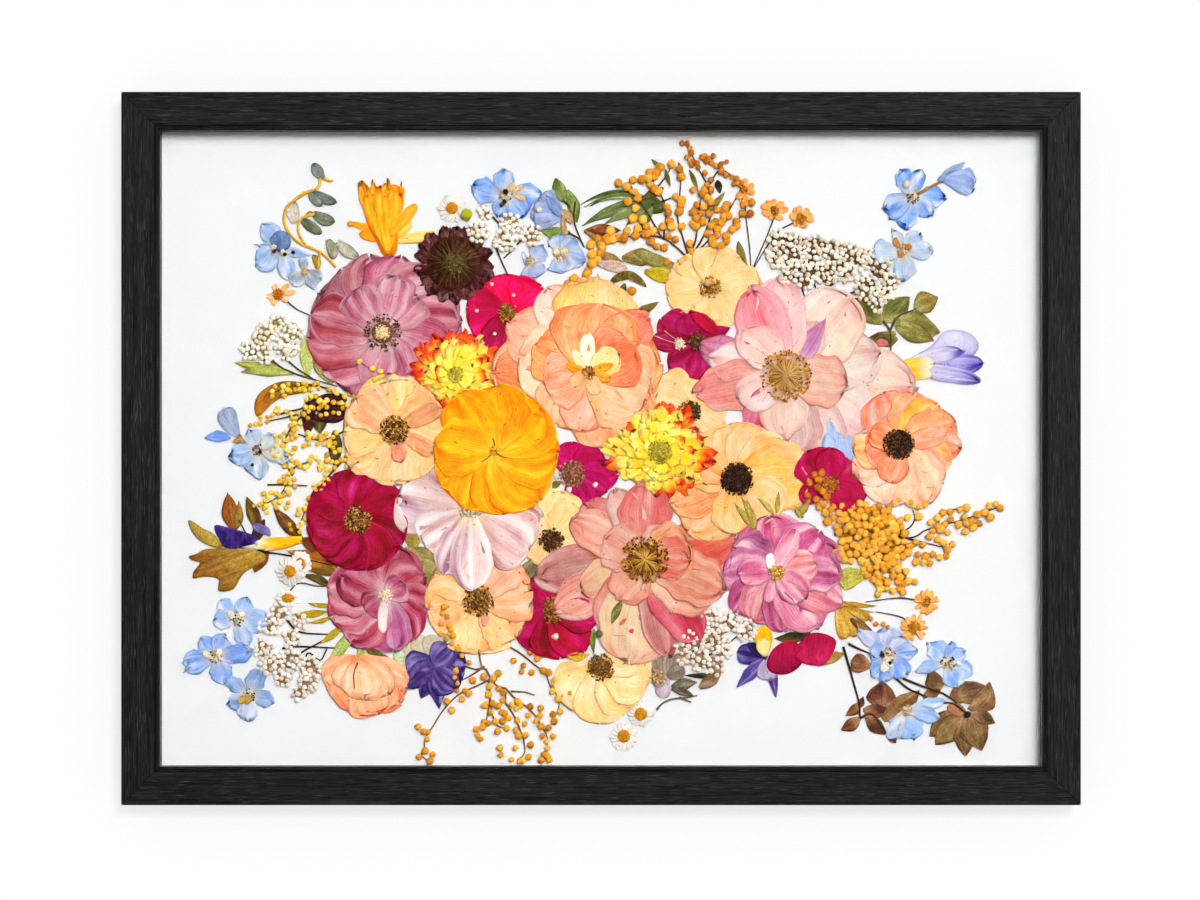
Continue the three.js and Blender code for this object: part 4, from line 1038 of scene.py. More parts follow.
brownSpray = {
    "leaves": [
        [862, 705, 847, 718, 9, "lance", "#8a6038"], [862, 720, 843, 732, 11, "#8a6038"],
        [862, 710, 865, 698, 6, "lance", "#6a4028"], [872, 668, 853, 663, 16, "round", "#9a7050"],
        [885, 712, 885, 683, 24, "#7a4c38"], [865, 712, 893, 712, 12, "#7a4c38"], [868, 718, 888, 736, 12, "#6a4028"],
        [885, 722, 922, 692, 18, "#9a8050"], [890, 735, 898, 745, 8, "#7a5838"],
        [935, 698, 932, 671, 16, "#7a6038", -4], [925, 700, 943, 691, 10, "#8a6a40"],
        [965, 705, 960, 686, 20, "#8a6a48"], [960, 700, 988, 688, 20, "#7a6244"],
        [972, 712, 992, 684, 18, "#9a8058", -8], [962, 712, 932, 738, 20, "#8a7448"],
        [965, 718, 938, 746, 20, "#93804c"], [967, 720, 968, 758, 18, "#8a7448"], [970, 718, 980, 748, 18, "#7f6a40"],
        [972, 715, 985, 752, 24, "#8f7a4c"], [975, 715, 998, 725, 12, "#7a6040"],
        [968, 716, 950, 708, 11, "pod", "#b08868"],
    ],
    "stems": [
        [(845, 648), (850, 665), (857, 690), (861, 705), (862, 720)], [(850, 645), (860, 650), (872, 655)],
        [(872, 655), (885, 667), (895, 677), (910, 690), (925, 697), (940, 705), (955, 705), (970, 716)],
        [(905, 680), (925, 688), (945, 695), (960, 705)], [(862, 720), (874, 716), (888, 735)],
    ],
}
specimen(
    "brown_leaf_spray",
    blades([[*row[:4], row[4] * 1.25, *row[5:]] for row in brownSpray["leaves"]], "#b0987e", rim=("#74563c", 0.4),
           throat=("#b89c7a", 0.5), ruffle=0.6, wash="#ffeee4")
    + stems(brownSpray["stems"], 2.7, "#4a3018")
    + balls([(970, 716)], 3.5, ["#2a1a10"]))

looseLeaves = [
    [584, 230, 621, 229, 12, "#8a4a20"], [585, 229, 605, 242, 5, "lance", "#b89060"],
    [600, 250, 628, 268, 12, "#b08a58"], [622, 257, 662, 257, 18, "#9a8850"], [635, 250, 680, 266, 14, "#a09a50"],
    [645, 270, 676, 276, 16, "round", "#c8b020"], [597, 262, 626, 268, 12, "round", "#d8c0b0"],
]
specimen("loose_leaves", blades(looseLeaves, "#9a8850"), slot="leaf_sprig_right")
lowLeaves = [
    [345, 635, 325, 665, 9, "lance"], [350, 640, 335, 665, 7, "lance"], [360, 640, 354, 675, 9, "lance"],
    [392, 650, 405, 685, 12, "#c8d4a0"], [365, 650, 400, 680, 14, "#7a7420"],
    [325, 613, 290, 615, 8, "lance", "#c0a820"], [330, 606, 306, 604, 5, "lance", "#b8a020"],
    [330, 618, 306, 624, 5, "lance", "#b8a020"], [340, 628, 318, 645, 8, "lance", "#c0a820"],
    [812, 634, 776, 640, 12, "#5a4a10"], [845, 655, 820, 668, 12, "lance", "#b89858"],
    [712, 677, 685, 677, 6, "lance", "#5a4a30"], [700, 690, 722, 672, 14, "#a08060"],
    [696, 684, 672, 692, 12, "#8a7f68"], [420, 580, 412, 545, 18, "#b8a060"], [412, 552, 413, 518, 18, "#b09a48"],
    [424, 600, 409, 562, 16, "#a89a60"], [430, 596, 432, 560, 14, "lance", "#b8a870"],
    [416, 540, 436, 512, 14, "lance", "#a8a468"], [440, 562, 404, 548, 18, "#a89860"],
    [440, 574, 412, 562, 16, "#b0a468"], [518, 586, 542, 556, 18, "#8f8460"],
]
specimen("green_leaves_low", blades(lowLeaves, "#b8c070"), slot="leaf_sprig_right")
strawFans = [
    [840, 605, 858, 637, 12, "fan"], [842, 605, 872, 620, 10, "fan"], [838, 608, 848, 640, 14, "fan"],
    [845, 603, 878, 607, 5, "lance", "#c89a20"], [845, 607, 876, 613, 4, "lance", "#c89a20"],
    [852, 620, 874, 632, 10, "#8a5a28"],
]
specimen(
    "straw_leaves_right",
    blades(strawFans, "#d8b050", pleats=0.3, rim=("#8a6a28", 0.4))
    + balls([(873, 620), (878, 625), (885, 625), (890, 628)], 2.4, ["#e89030", "#d87820"]),
    slot="yarrow_right")
print("sprays and leaves laid")

# ---- Small blue florets: larkspur and delphinium ----
blueLook = {
    "cup": 0.6,
    "ruffle": 0.7,
    "frill": 0.13,
    "pleats": 0.2,
    "throat": ("#e8dfd0", 0.55),
    "streak": 0.16,
    "blush": ("#eef3fa", 0.85),
    "wash": "#fffaf4",
}


def larkspur(name, at, rows, tint, tips=("#a4c0ec", 0.25), core=7, slot=None, more=None, darkCore=True):
    rows = [[column, line, width * 1.3, *own] for column, line, width, *own in rows]
    parts = petals(at, rows, tint, "blueFloret", kind="spoon", **{**blueLook, "tips": tips})
    parts += heart(at, core, "#e0d0a8", ["#2a2420", "#6a6a78", "#c8a878"] if darkCore else ["#d8b890", "#c8a070"],
                   18, size=0.5e-3, inner=1, core=core * 0.7, threads=5, threadTint="#c8b088")
    return specimen(name, parts + (more() if more else []), slot=slot)


larkspur("delphinium_top_left", (278, 247), [
    [260, 223, 17], [254, 243, 8, "point"], [256, 265, 20], [286, 277, 14], [309, 254, 8, "point"],
    [277, 231, 14, "round", "#8aa6d8"],
], "#a9c4ea", core=4,
         more=lambda: [patch(circle((279, 240), 11, ragged=0.12), "#8299bd", "blueFloret", second="#6a80a8",
                             dome=0.8)]
                      + blades([
                          [270, 250, 274, 244, 5, "round", "#f0e8d0"], [284, 254, 280, 248, 5, "round", "#f0e8d0"],
                      ], "#f0e8d0")
                      + balls([(272, 250), (283, 253), (291, 251)], 2.0, ["#201814"]))
larkspur("pale_floret_left", (303, 270), [[291, 284, 13], [318, 279, 13], [300, 256, 8], [314, 286, 9]], "#9fb0c4",
         tips=("#c8daf2", 0.3), core=4, slot="delphinium_top_left", darkCore=False)
larkspur("delphinium_top", (505, 193),
         [[472, 184, 20], [502, 168, 17], [541, 192, 16], [525, 214, 24], [498, 214, 14]], "#98baf0",
         tips=("#3f78d0", 0.14), core=7,
         more=lambda: blades([
             [508, 190, 513, 181, 7, "round"], [512, 192, 524, 185, 6, "round"], [512, 193, 525, 198, 6, "round"],
             [506, 196, 503, 205, 6, "round"],
         ], "#e0c49a")
                      + balls([(504, 200), (501, 203), (505, 190)], 2.4, ["#201c1c", "#3a3a44"]))
larkspur("delphinium_top_right", (915, 195), [
    [903, 168, 16], [923, 168, 14], [947, 196, 17], [934, 213, 15], [908, 227, 17], [886, 206, 17], [892, 217, 12],
], "#8fb4ee", tips=("#3f70c8", 0.14), core=7,
         more=lambda: stems([[(920, 192), (928, 188), (936, 183), (948, 179)]], 3, "#b89038")
                      + petals((940, 179), [[968, 160, 12, "point"], [962, 168, 10, "point", "#8fa4cc"]], "#9fb0c8",
                               "blueFloret", cup=0.8)
                      + petals((946, 178), [[978, 176, 20, "fan"], [976, 186, 20, "fan", "#a4b4dc"]], "#b0bfe6",
                               "blueFloret", cup=1.2, frill=0.08)
                      + balls([(908, 182)], 4.0, ["#f0e6cc"]))
larkspur("pale_floret_right", (905, 248),
         [[874, 248, 18], [895, 228, 8], [922, 231, 14], [935, 249, 15], [907, 279, 18]], "#c0d2ec",
         tips=("#a8bcd8", 0.2), core=6, slot="delphinium_top_right", darkCore=False,
         more=lambda: blades([
             [903, 246, 897, 236, 7, "round"], [907, 248, 912, 242, 7, "round"], [905, 250, 901, 256, 6, "round"],
         ], "#c89050"))
larkspur("pale_floret_top_a", (560, 253), [[560, 233, 18], [576, 238, 14], [585, 259, 17], [564, 271, 22]], "#b4c8ec",
         tips=("#9ab4e4", 0.2), core=7, slot="delphinium_top", darkCore=False,
         more=lambda: blades([[560, 251, 553, 248, 8, "round"], [561, 253, 568, 249, 7, "round"]], "#e8d8b0"))
larkspur("pale_floret_top_b", (530, 260), [[543, 245, 16], [524, 262, 22], [536, 276, 20]], "#b0c2ea",
         tips=("#9ab0e0", 0.2), core=5, slot="delphinium_top", darkCore=False)
specimen(
    "bell_floret_top",
    petals((563, 216),
           [[540, 196, 24], [532, 208, 22, "#9fb0d4"], [534, 220, 20], [546, 194, 12, "point", "#8fa4d0"]], "#a9b5d4",
           "blueFloret", kind="fan", cup=1.0, frill=0.08)
    + blades([[572, 222, 561, 208, 9, "pod"], [566, 234, 563, 214, 7, "lance"]], "#c8a878")
    + balls([(538, 208)], 3.2, ["#f0e8d0"]),
    slot="delphinium_top")
larkspur("delphinium_left", (256, 450), [
    [247, 430, 16, "#b8cce4"], [228, 457, 18], [246, 471, 18, "#9abcf0"], [257, 479, 16, "#b0c4dc"],
    [285, 458, 14, "#d0d8e0"], [270, 435, 12, "#d0d8e0"],
], "#a8c8f0", core=6, slot="delphinium_top_left", more=lambda: balls([(250, 465), (258, 452)], 1.8, ["#1c1a1c"]))
specimen(
    "bluebell_bud",
    petals((237, 438), [[222, 408, 20, "fan"]], "#a8b4cc", "blueFloret", cup=1.2)
    + petals((228, 437), [[202, 438, 12, "point"]], "#7fa0e0", "blueFloret", cup=0.8)
    + blades([[242, 443, 236, 434, 7, "pod"], [240, 437, 230, 442, 6, "pod"]], "#b8985a"),
    slot="delphinium_top_left")
larkspur("delphinium_corner_a", (213, 658),
         [[197, 640, 14], [221, 636, 16], [248, 652, 16], [181, 663, 18], [184, 673, 12], [220, 685, 18]], "#90b4f2",
         core=7, slot="delphinium_low_left",
         more=lambda: blades([[210, 660, 201, 652, 7, "round"], [214, 657, 217, 650, 6, "round"]], "#f0e8d4"))
larkspur("delphinium_corner_b", (247, 697),
         [[225, 680, 12], [258, 671, 16], [271, 704, 14], [226, 706, 14], [238, 719, 10], [246, 723, 14, "#c8d4ec"]],
         "#96b2e2", core=7, slot="delphinium_low_left",
         more=lambda: blades([[246, 698, 236, 704, 8, "round"], [248, 696, 244, 706, 6, "round"]], "#d8b868"))
larkspur("delphinium_low_left", (235, 620),
         [[217, 602, 14], [245, 600, 16], [211, 622, 16], [265, 615, 8], [263, 625, 20], [246, 645, 14]], "#b0cbf3",
         core=8, more=lambda: blades([[233, 620, 226, 612, 7, "round"], [236, 619, 241, 612, 6, "round"]], "#f0e8d4"))
larkspur("delphinium_low_right", (890, 657), [
    [888, 630, 24, "round", "#b8c0ea"], [860, 632, 12, "#c8ccf0"], [908, 640, 18, "#a8bcec"],
    [919, 652, 14, "#90b0f0"], [872, 655, 20, "#94b8ee"], [876, 678, 14], [908, 676, 18, "#86aaf0"], [886, 684, 12],
], "#94b4ee", core=8,
         more=lambda: blades([[890, 660, 886, 674, 9, "round"], [890, 658, 894, 668, 7, "round"]], "#f0e8d4")
                      + balls([(884, 656), (892, 664)], 2.0, ["#1c1a1c"]))
larkspur("delphinium_right", (950, 665),
         [[932, 645, 18], [955, 644, 10], [968, 653, 12], [975, 673, 14], [960, 688, 18], [918, 673, 10]], "#98bcf2",
         core=8, slot="delphinium_low_right", more=lambda: balls([(961, 665)], 2.6, ["#f4ecd8"]))
larkspur("delphinium_low_corner", (908, 712),
         [[903, 740, 20], [915, 740, 20], [890, 740, 12, "#c8d4e8"], [947, 703, 10], [940, 720, 14]], "#a8c8f4",
         core=6, slot="delphinium_low_right", darkCore=False)
specimen(
    "freesia",
    [patch([
        (903, 364), (918, 354), (935, 345), (945, 330), (960, 328), (975, 333), (983, 344), (978, 355), (955, 364),
        (925, 370),
    ], "#f0ecfa", "sheerPetal", second="#ccc4ee", rim=("#9a8cd4", 0.4), ruffle=0.5)]
    + petals((900, 368), [[985, 362, 24, "#c4bcf0"], [982, 380, 16, "#d4ccf2"], [965, 350, 16, "#e4dcf6"]], "#a89ce4",
             "sheerPetal", kind="spoon", throat=("#faf4ec", 0.7), tips=("#6450c0", 0.3), cup=0.5, streak=0.35)
    + petals((889, 370), [[936, 362, 16, "tongue"], [934, 374, 14, "tongue"]], "#f8c83c", "petal",
             throat=("#f8b800", 0.5), tips=("#f4ecd0", 0.4), cup=0.6))

# ---- Irises and daffodil ----
irisLook = {"cup": 0.6, "ruffle": 0.5, "frill": 0.06, "pleats": 0.25, "streak": 0.25}
specimen(
    "iris_left",
    stems([[(300, 541), (290, 543), (275, 547), (255, 551)]], 3, "#2a2018")
    + [patch([
        (211, 524), (225, 528), (245, 533), (260, 540), (248, 548), (235, 550), (220, 549), (217, 540), (212, 533),
    ], "#4a3080", "darkPetal", second="#3a2068", rim=("#6a50a8", 0.5), ruffle=0.6)]
    + petals((288, 543), [[240, 548, 9, "lance"]], "#f0e4c0", "petal")
    + petals((300, 540), [[254, 545, 12, "tongue"], [262, 551, 8, "lance", "#f0b818"]], "#f8c820", "petal",
             tips=("#f4ecd0", 0.3))
    + petals((268, 536), [[250, 526, 9], [258, 528, 8]], "#9888c0", "sheerPetal"))
specimen(
    "iris_low_right",
    petals((768, 660), [
        [738, 654, 22, "#5a4890"], [738, 689, 14, "point", "#6a58a0"], [777, 699, 10, "point", "#5a4090"],
        [770, 682, 22, "#c0b0c8"], [748, 645, 14, "point", "#3a2c6a"],
    ], "#5a4890", "darkPetal", **irisLook)
    + petals((766, 658), [[764, 627, 18, "#f8c010"], [766, 640, 14, "#f4e0a0"]], "#f8c010", "petal"))
specimen(
    "magenta_petals_low",
    [patch([
        (793, 640), (804, 648), (806, 662), (798, 672), (786, 677), (772, 675), (767, 668), (770, 656), (778, 646),
    ], "#b8004e", "darkPetal", second="#980040", ruffle=0.5),
     patch([
         (810, 634), (825, 634), (838, 640), (838, 648), (832, 660), (825, 668), (810, 667), (797, 662), (797, 648),
     ], "#b00048", "darkPetal", second="#c82860", ruffle=0.6)],
    slot="magenta_rose_right")
specimen(
    "grey_rose",
    petals((668, 680), [
        [655, 658, 22, "#a89888"], [674, 655, 22, "#b0a294"], [684, 668, 18, "#988878"], [662, 700, 16, "#c8b8c0"],
        [652, 682, 16, "#b8a8ac"],
    ], "#a89888", cup=0.5)
    + blades([[672, 688, 698, 684, 10, "#8a7f68"], [672, 690, 694, 698, 9, "#7a7058"]], "#8a7f68")
    + stems([[(657, 712), (662, 706), (672, 701), (690, 699), (698, 697)], [(680, 699), (692, 704)]], 2.2, "#7a6a58")
    + heart((658, 679), 8, "#b8956a", ["#c8a060", "#8a6a40", "#d8b880"], 50),
    slot="cream_rose_low")
specimen(
    "daffodil",
    petals((390, 238), [
        [433, 232, 11, "tongue", "#ffe28a"], [407, 214, 16, "#ffd060"], [347, 221, 7, "spoon", "#ffb830"],
        [358, 233, 12, "spoon", "#ffb830"],
    ], "#ffc840", tips=("#f8a020", 0.15))
    + balls([(349, 222)], 3.2, ["#f0a020"])
    + [patch([
        (381, 256), (375, 240), (366, 225), (363, 210), (361, 200), (358, 197), (358, 187), (365, 186), (370, 185),
        (378, 184), (383, 186), (388, 183), (393, 182), (398, 184), (402, 188), (400, 193), (396, 197), (393, 198),
        (393, 210), (396, 225), (397, 240), (394, 256),
    ], "#ff9c0a", second="#ffc81a", direction=(0, 1), dome=1.2, rim=("#f08800", 0.5), ruffle=0.6)]
    + petals((386, 252), [
        [361, 186, 16], [373, 184, 17], [385, 184, 17], [398, 187, 15], [367, 188, 16, "#ffc42a"],
        [393, 189, 16, "#ffc42a"], [380, 187, 16, "#ffbe20"],
    ], "#ffae14", kind="fan", throat=("#ffd040", 0.7), rim=("#f08a04", 0.5), frill=0.14, ruffle=1.6, cup=0.9,
             pleats=0.5, streak=0.3, stiff=3)
    + petals((390, 235), [[415, 203, 12, "spoon", "#ffb830"]], "#ffb830"))
hooked = [[632, 312, 659, 301, 9, "#8a7438"], [625, 282, 622, 300, 9, "#7a6a28"]]
specimen(
    "hooked_leaves",
    blades(hooked, "#7a6a28")
    + [patch([
        (608, 284), (612, 276), (620, 270), (632, 269), (642, 276), (648, 286), (644, 286), (636, 278), (626, 276),
        (617, 280),
    ], "#7a6a28", "leaf", dome=0.3)]
    + balls([(632, 290), (567, 283), (574, 277), (587, 273)], 4.4, ["#f0a820", "#e09018"]),
    slot="leaf_sprig_right")


def daisy(at, radius, core, count=16, start=0.0, squash=1.0):
    made = []
    for i in range(count):
        turn = start + (i + rng.uniform(-0.15, 0.15)) / count * fullTurn
        far = radius * rng.uniform(0.88, 1.08)
        tip = (at[0] + far * math.cos(turn), at[1] + far * math.sin(turn) * squash)
        made.append(petal(at, tip, 5.6, "spoon", "#f4f0ea", cup=0.1, ruffle=0.08, frill=0.02, pleats=0.05,
                          throat=("#c8c0a8", 0.3)))
    x, z = scatter(at[0], at[1], 0, core, 46, squash)
    made.append(patch(circle(at, core * 0.95, squash, ragged=0.04), "#c8860c", "pollen", dome=0.7))
    made.append(grain(x, z, 0.42e-3, ["#e8a010", "#d08a08"], faces=1))
    return made


specimen(
    "tiny_daisy_top",
    stems([[(466, 213), (458, 211), (451, 207)]], 1.6, "#7a7a30")
    + daisy((451, 206.5), 15, 6.5)
    + balls([(466, 213)], 5.5, ["#b0b020", "#a0a020"]),
    slot="yarrow_right")
sideDaisy = [
    [277, 292, 287, 283, 6, "spoon"], [279, 292, 294, 290, 6, "spoon"], [276, 294, 271, 304, 8, "spoon"],
    [274, 290, 273, 283, 6, "spoon"], [278, 295, 286, 300, 6, "spoon"], [272, 293, 264, 296, 6, "spoon"],
]
specimen(
    "side_daisy",
    stems([[(282, 297), (288, 303), (296, 309), (307, 314)]], 1.8, "#4a2a10")
    + blades(sideDaisy, "#fcc98a", "petal")
    + heart((276, 293), 6, "#c86a08", ["#c86a08", "#a85408"], 40, size=0.4e-3),
    slot="mimosa_top")
specimen(
    "small_daisies_left",
    stems([[(288, 592), (293, 586), (300, 584), (315, 587), (328, 587)], [(288, 572), (300, 576), (316, 584)]], 1.6,
          "#6a5a20")
    + daisy((298, 565), 12, 6, squash=1.2)
    + daisy((288, 572), 15, 6.5)
    + daisy((286, 599), 13, 7, count=12, squash=0.7),
    slot="yarrow_low_left")
specimen("daisies_low", daisy((641, 716), 14, 7, start=0.4) + daisy((624, 738), 15, 7), slot="yarrow_low_right")
for name, at, tips, core, line in (
        ("orange_daisy_right_a", (929, 603), 13, 5.5, [(918, 601), (900, 599), (868, 603)]),
        ("orange_daisy_right_b", (916, 629), 14, 7, [(912, 624), (905, 619), (895, 616), (878, 613)])):
    specimen(name, stems([line], 1.6, "#5a4a20")
             + ring(at, 12, tips, 5, "spoon", ["#fbc070"], cup=0.3, rim=("#e8a050", 0.3))
             + heart(at, core, "#b87818", ["#d08a18", "#a86a10"], 30, size=0.42e-3), slot="mimosa_right")
print("florets laid")

# ---- Blossoms: roses, peonies, cosmos, poppies and others ----
specimen(
    "cream_rose_top",
    petals((711, 286), [
        [672, 268, 28], [690, 252, 34], [713, 247, 32], [742, 256, 36], [762, 288, 36], [734, 323, 32],
        [708, 320, 26], [684, 312, 26], [668, 295, 30],
    ], "#fdeebc", kind="fan", throat=("#f0d488", 0.3), rim=("#f6dca0", 0.3), notch=0.05, wash="#fbe6da", cup=0.6,
           ruffle=0.4)
    + heart((711, 286), 11, "#a87020", ["#b07820", "#8a5410", "#d8a848"], 70, threads=14, threadTint="#b88838",
            core=7)
    + balls([(708, 282)], 4, ["#d8b080"]))
specimen(
    "burgundy_rose",
    petals((697, 342), [
        [662, 318, 34], [690, 312, 30], [653, 340, 22, "#a01048"], [731, 327, 18, "point"], [737, 368, 24],
        [712, 384, 26, "#a8003a"], [684, 377, 34], [670, 368, 16],
    ], "#a80850", "darkPetal", blush=("#d02068", 0.5), cup=0.8, ruffle=0.6, rim=("#c02858", 0.35),
           throat=("#5a1020", 0.3))
    + blades([[690, 310, 717, 331, 14, "round", "#c0003c"]], "#c0003c", "darkPetal", cup=1.0)
    + heart((697, 340), 9, "#5a3010", ["#6a3a14", "#8a5a20", "#3a1c0c"], 50, core=7)
    + stems([[(655, 335), (668, 340), (680, 343)], [(665, 330), (674, 337), (682, 342)]], 0.9, "#e8d8b0", sides=4)
    + heart((680, 343), 6, "#e8dcc0", ["#f4ecd8", "#d8c8a0"], 30, size=0.5e-3))
specimen(
    "cream_rose_hidden",
    petals((690, 408),
           [[662, 376, 34, "fan"], [700, 380, 34], [728, 410, 30], [724, 428, 24], [672, 420, 40], [656, 398, 40]],
           "#fbe8c0", throat=("#e8c890", 0.3), wash="#fcecdc", cup=0.5)
    + heart((690, 412), 12, "#3a3414", ["#4a4018", "#6a5a28", "#2a2410"], 110, threads=16, threadTint="#6a5a28"))
specimen(
    "magenta_rose_top",
    petals((507, 312), [
        [503, 273, 36, "#f4045c"], [541, 285, 36, "#e40460"], [479, 284, 36, "#f80860"], [466, 306, 38, "#c00450"],
        [472, 334, 36, "#d0086c"], [491, 354, 30, "#b00050"],
    ], "#c00058", "darkPetal", wash="#f8d0e8", cup=0.9, ruffle=0.7, rim=("#ec1c74", 0.25), throat=("#8a1030", 0.25),
           blush=("#e80c70", 0.5))
    + heart((507, 312), 10, "#8a5a18", ["#b08020", "#d0a030", "#6a4010"], 46, threads=12, threadTint="#c89830")
    + balls([(476, 310), (494, 333), (513, 294), (491, 283)], 1.8, ["#f4ead0"]))
specimen(
    "magenta_rose_middle",
    petals((571, 474),
           [[572, 442, 30], [601, 451, 28], [617, 474, 28], [607, 491, 24], [584, 508, 26], [557, 458, 20]],
           "#c4006c", "darkPetal", blush=("#8a0850", 0.5), cup=0.9, ruffle=0.7, rim=("#d02068", 0.4),
           throat=("#701838", 0.25))
    + heart((571, 474), 14, "#8a5438", ["#a06848", "#c08868", "#7a4430"], 120, threads=10, threadTint="#b88868")
    + balls([(595, 485), (569, 490)], 2.6, ["#f0d8d0"])
    + blades([[556, 480, 551, 464, 6, "lance", "#f0e8e0"], [560, 482, 552, 490, 8, "lance", "#8a7a30"]], "#f0e8e0",
             "petal"))
specimen(
    "mauve_rose",
    petals((381, 332), [
        [318, 292, 60, "#b88890"], [340, 268, 56, "#cc9ca4"], [368, 255, 56, "#d8a0a8"], [400, 256, 56, "#dc98b0"],
        [430, 270, 56, "#e4b0b4"], [450, 292, 54, "#ecc0c0"], [459, 322, 56, "#dc98a8"], [446, 352, 52, "#d888a0"],
        [406, 384, 50, "#d490a8"], [352, 394, 56, "#b05880"], [322, 370, 52, "#d87c8c"], [306, 338, 56, "#dc8894"],
        [310, 314, 44, "#d48490"], [372, 388, 34, "#e8b8c8"], [416, 296, 40, "fan", "#ecc4c8"],
        [396, 276, 34, "fan", "#f0c4d0"], [352, 290, 36, "fan", "#d8a0b0"],
    ], "#d88a98", "sheerPetal", wash="#fae4ea", cup=0.8, ruffle=0.7, frill=0.06, throat=("#f8ece8", 0.6),
           rim=("#98406c", 0.3), streak=0.4, blush=("#f0d4d8", 0.7))
    + heart((381, 332), 19, "#7a5430", ["#3a2414", "#5a3a20", "#1c1210", "#7a5028"], 60, inner=12, threads=44,
            threadTint="#a88058", core=12)
    + heart((381, 332), 8, "#f4dcb0", ["#f8e4c0", "#f0d09a", "#c89850"], 50, size=0.5e-3, core=7))
straw = {
    "tints": ["#6c2c2a", "#804240", "#743634", "#8c5048"],
    "curl": {
        "cup": 0.7,
        "ruffle": 0.8,
        "frill": 0.14,
        "rim": ("#4a1c1e", 0.45),
        "throat": ("#4a1c1c", 0.5),
    },
}
specimen(
    "strawflower",
    ring((452, 262), 17, 38, 15, "fan", straw["tints"], "bract", **straw["curl"])
    + ring((452, 262), 18, 34, 12, "round", straw["tints"], "bract", start=0.17, **straw["curl"])
    + ring((452, 262), 20, 32, 8, "tongue", straw["tints"], "bract", start=0.3, **straw["curl"])
    + [patch(circle((453, 262), 28, ragged=0.04, sides=16), "#54301e", "leaf", dome=0.5)]
    + ring((453, 262), 46, 28, 2.4, "lance", ["#7a4c30", "#5a3420", "#8a6038", "#6a4026"], "bract", cup=0.2,
           ruffle=0.1)
    + ring((453, 262), 40, 19, 2.2, "lance", ["#806434", "#6a5030", "#8a7444"], "bract", cup=0.2, ruffle=0.1)
    + heart((455, 263), 11, "#6a5428", ["#a09048", "#7a6430", "#54401e"], 110, size=0.38e-3, core=9,
            stretch=(2.4, 0.7, 0.7)))
riceTop = [(484, 210, 7), (477, 229, 12), (510, 221, 11), (505, 239, 12), (531, 233, 11)]
specimen(
    "rice_flower_top",
    stems([[(493, 240), (500, 258), (507, 273)], [(521, 238), (512, 248), (503, 257)], [(492, 215), (500, 224)]], 2.2,
          "#6a4a20")
    + cluster(riceTop, 4.0, 1.5e-3, ["#fcf4e6", "#f6ead6", "#fff8ec"], gap="#a88858"),
    slot="rice_flower_left")


def mum(name, at, outline, width, quills, redness, core, coreTints):
    # a chrysanthemum: whorls of narrow quills, shorter towards the middle
    reach = reachTo(at, outline)
    parts = []
    for whorl, (share, number) in enumerate(quills):
        for i in range(number):
            turn = (i + rng.uniform(-0.3, 0.3)) / number * fullTurn + whorl * 0.37
            far = reach(turn) * share * rng.uniform(0.9, 1.04)
            tip = (at[0] + far * math.cos(turn), at[1] + far * math.sin(turn))
            red = redness(turn) * (1.0, 0.75, 0.3, 0.1)[whorl]
            tips = ("#ee3c18", 0.4) if rng.uniform() < red else ("#fcec90", 0.3)
            rim = ("#f07038", 0.45) if rng.uniform() < red else ("#f4bc20", 0.3)
            tint = rng.choice(["#fde448", "#fff074", "#fdec58", "#fbdc3c"])
            start = (at[0] + 0.25 * (tip[0] - at[0]), at[1] + 0.25 * (tip[1] - at[1])) if whorl else at
            parts.append(petal(start, tip, width * rng.uniform(0.85, 1.15), "fan" if whorl < 2 else "tongue",
                               str(tint), rng.uniform(-1.5, 1.5), "petal", cup=0.45, ruffle=0.45, pleats=0.1,
                               frill=0.14, tips=tips, stiff=3, streak=0.14, rim=rim))
    parts += heart(at, core, coreTints[0], coreTints, 90, size=0.6e-3, core=core * 0.9)
    return specimen(name, parts)


def reachTo(at, tips):
    # how far a blossom reaches in each direction, from the tips on its outline
    polar = sorted((math.atan2(r - at[1], c - at[0]) % fullTurn, math.hypot(c - at[0], r - at[1])) for c, r in tips)
    turns = np.array([p[0] for p in polar])
    fars = np.array([p[1] for p in polar])
    turns = np.concatenate([turns[-1:] - 2 * np.pi, turns, turns[:1] + 2 * np.pi])
    fars = np.concatenate([fars[-1:], fars, fars[:1]])
    return lambda turn: float(np.interp(turn % fullTurn, turns, fars))


mum("yellow_mum_left", (455, 374), [
    (468, 330), (487, 340), (497, 358), (503, 385), (488, 404), (448, 414), (436, 402), (420, 397), (410, 393),
    (408, 372), (411, 355), (425, 345), (440, 334),
], 12, [(1.0, 26), (0.86, 22), (0.66, 20), (0.44, 14)], lambda turn: 0.95, 8, ["#b0a838", "#c8b840", "#d8c030"])
specimen(
    "peach_rosebud",
    petals((356, 660), [
        [325, 682, 34, "#fcd4b4", 4], [333, 700, 36, "#fac8a4", 3], [404, 686, 32, "#fcd4b4", -3],
        [398, 704, 34, "fan", "#f9c098", -3], [352, 711, 40, "#fbccac"], [376, 715, 42, "fan", "#fbd0b0"],
        [342, 690, 34, "#fde0c0", 3], [386, 696, 34, "#fcd8b8", -2], [362, 700, 34, "#fde4c8"],
    ], "#fcd0ac", wash="#fff0e4", cup=0.9, ruffle=0.7, frill=0.08, rim=("#f08c68", 0.5), throat=("#f4a878", 0.35),
           streak=0.2)
    + stems([[(356, 664), (352, 676), (353, 690)]], 1.6, "#a04010"))
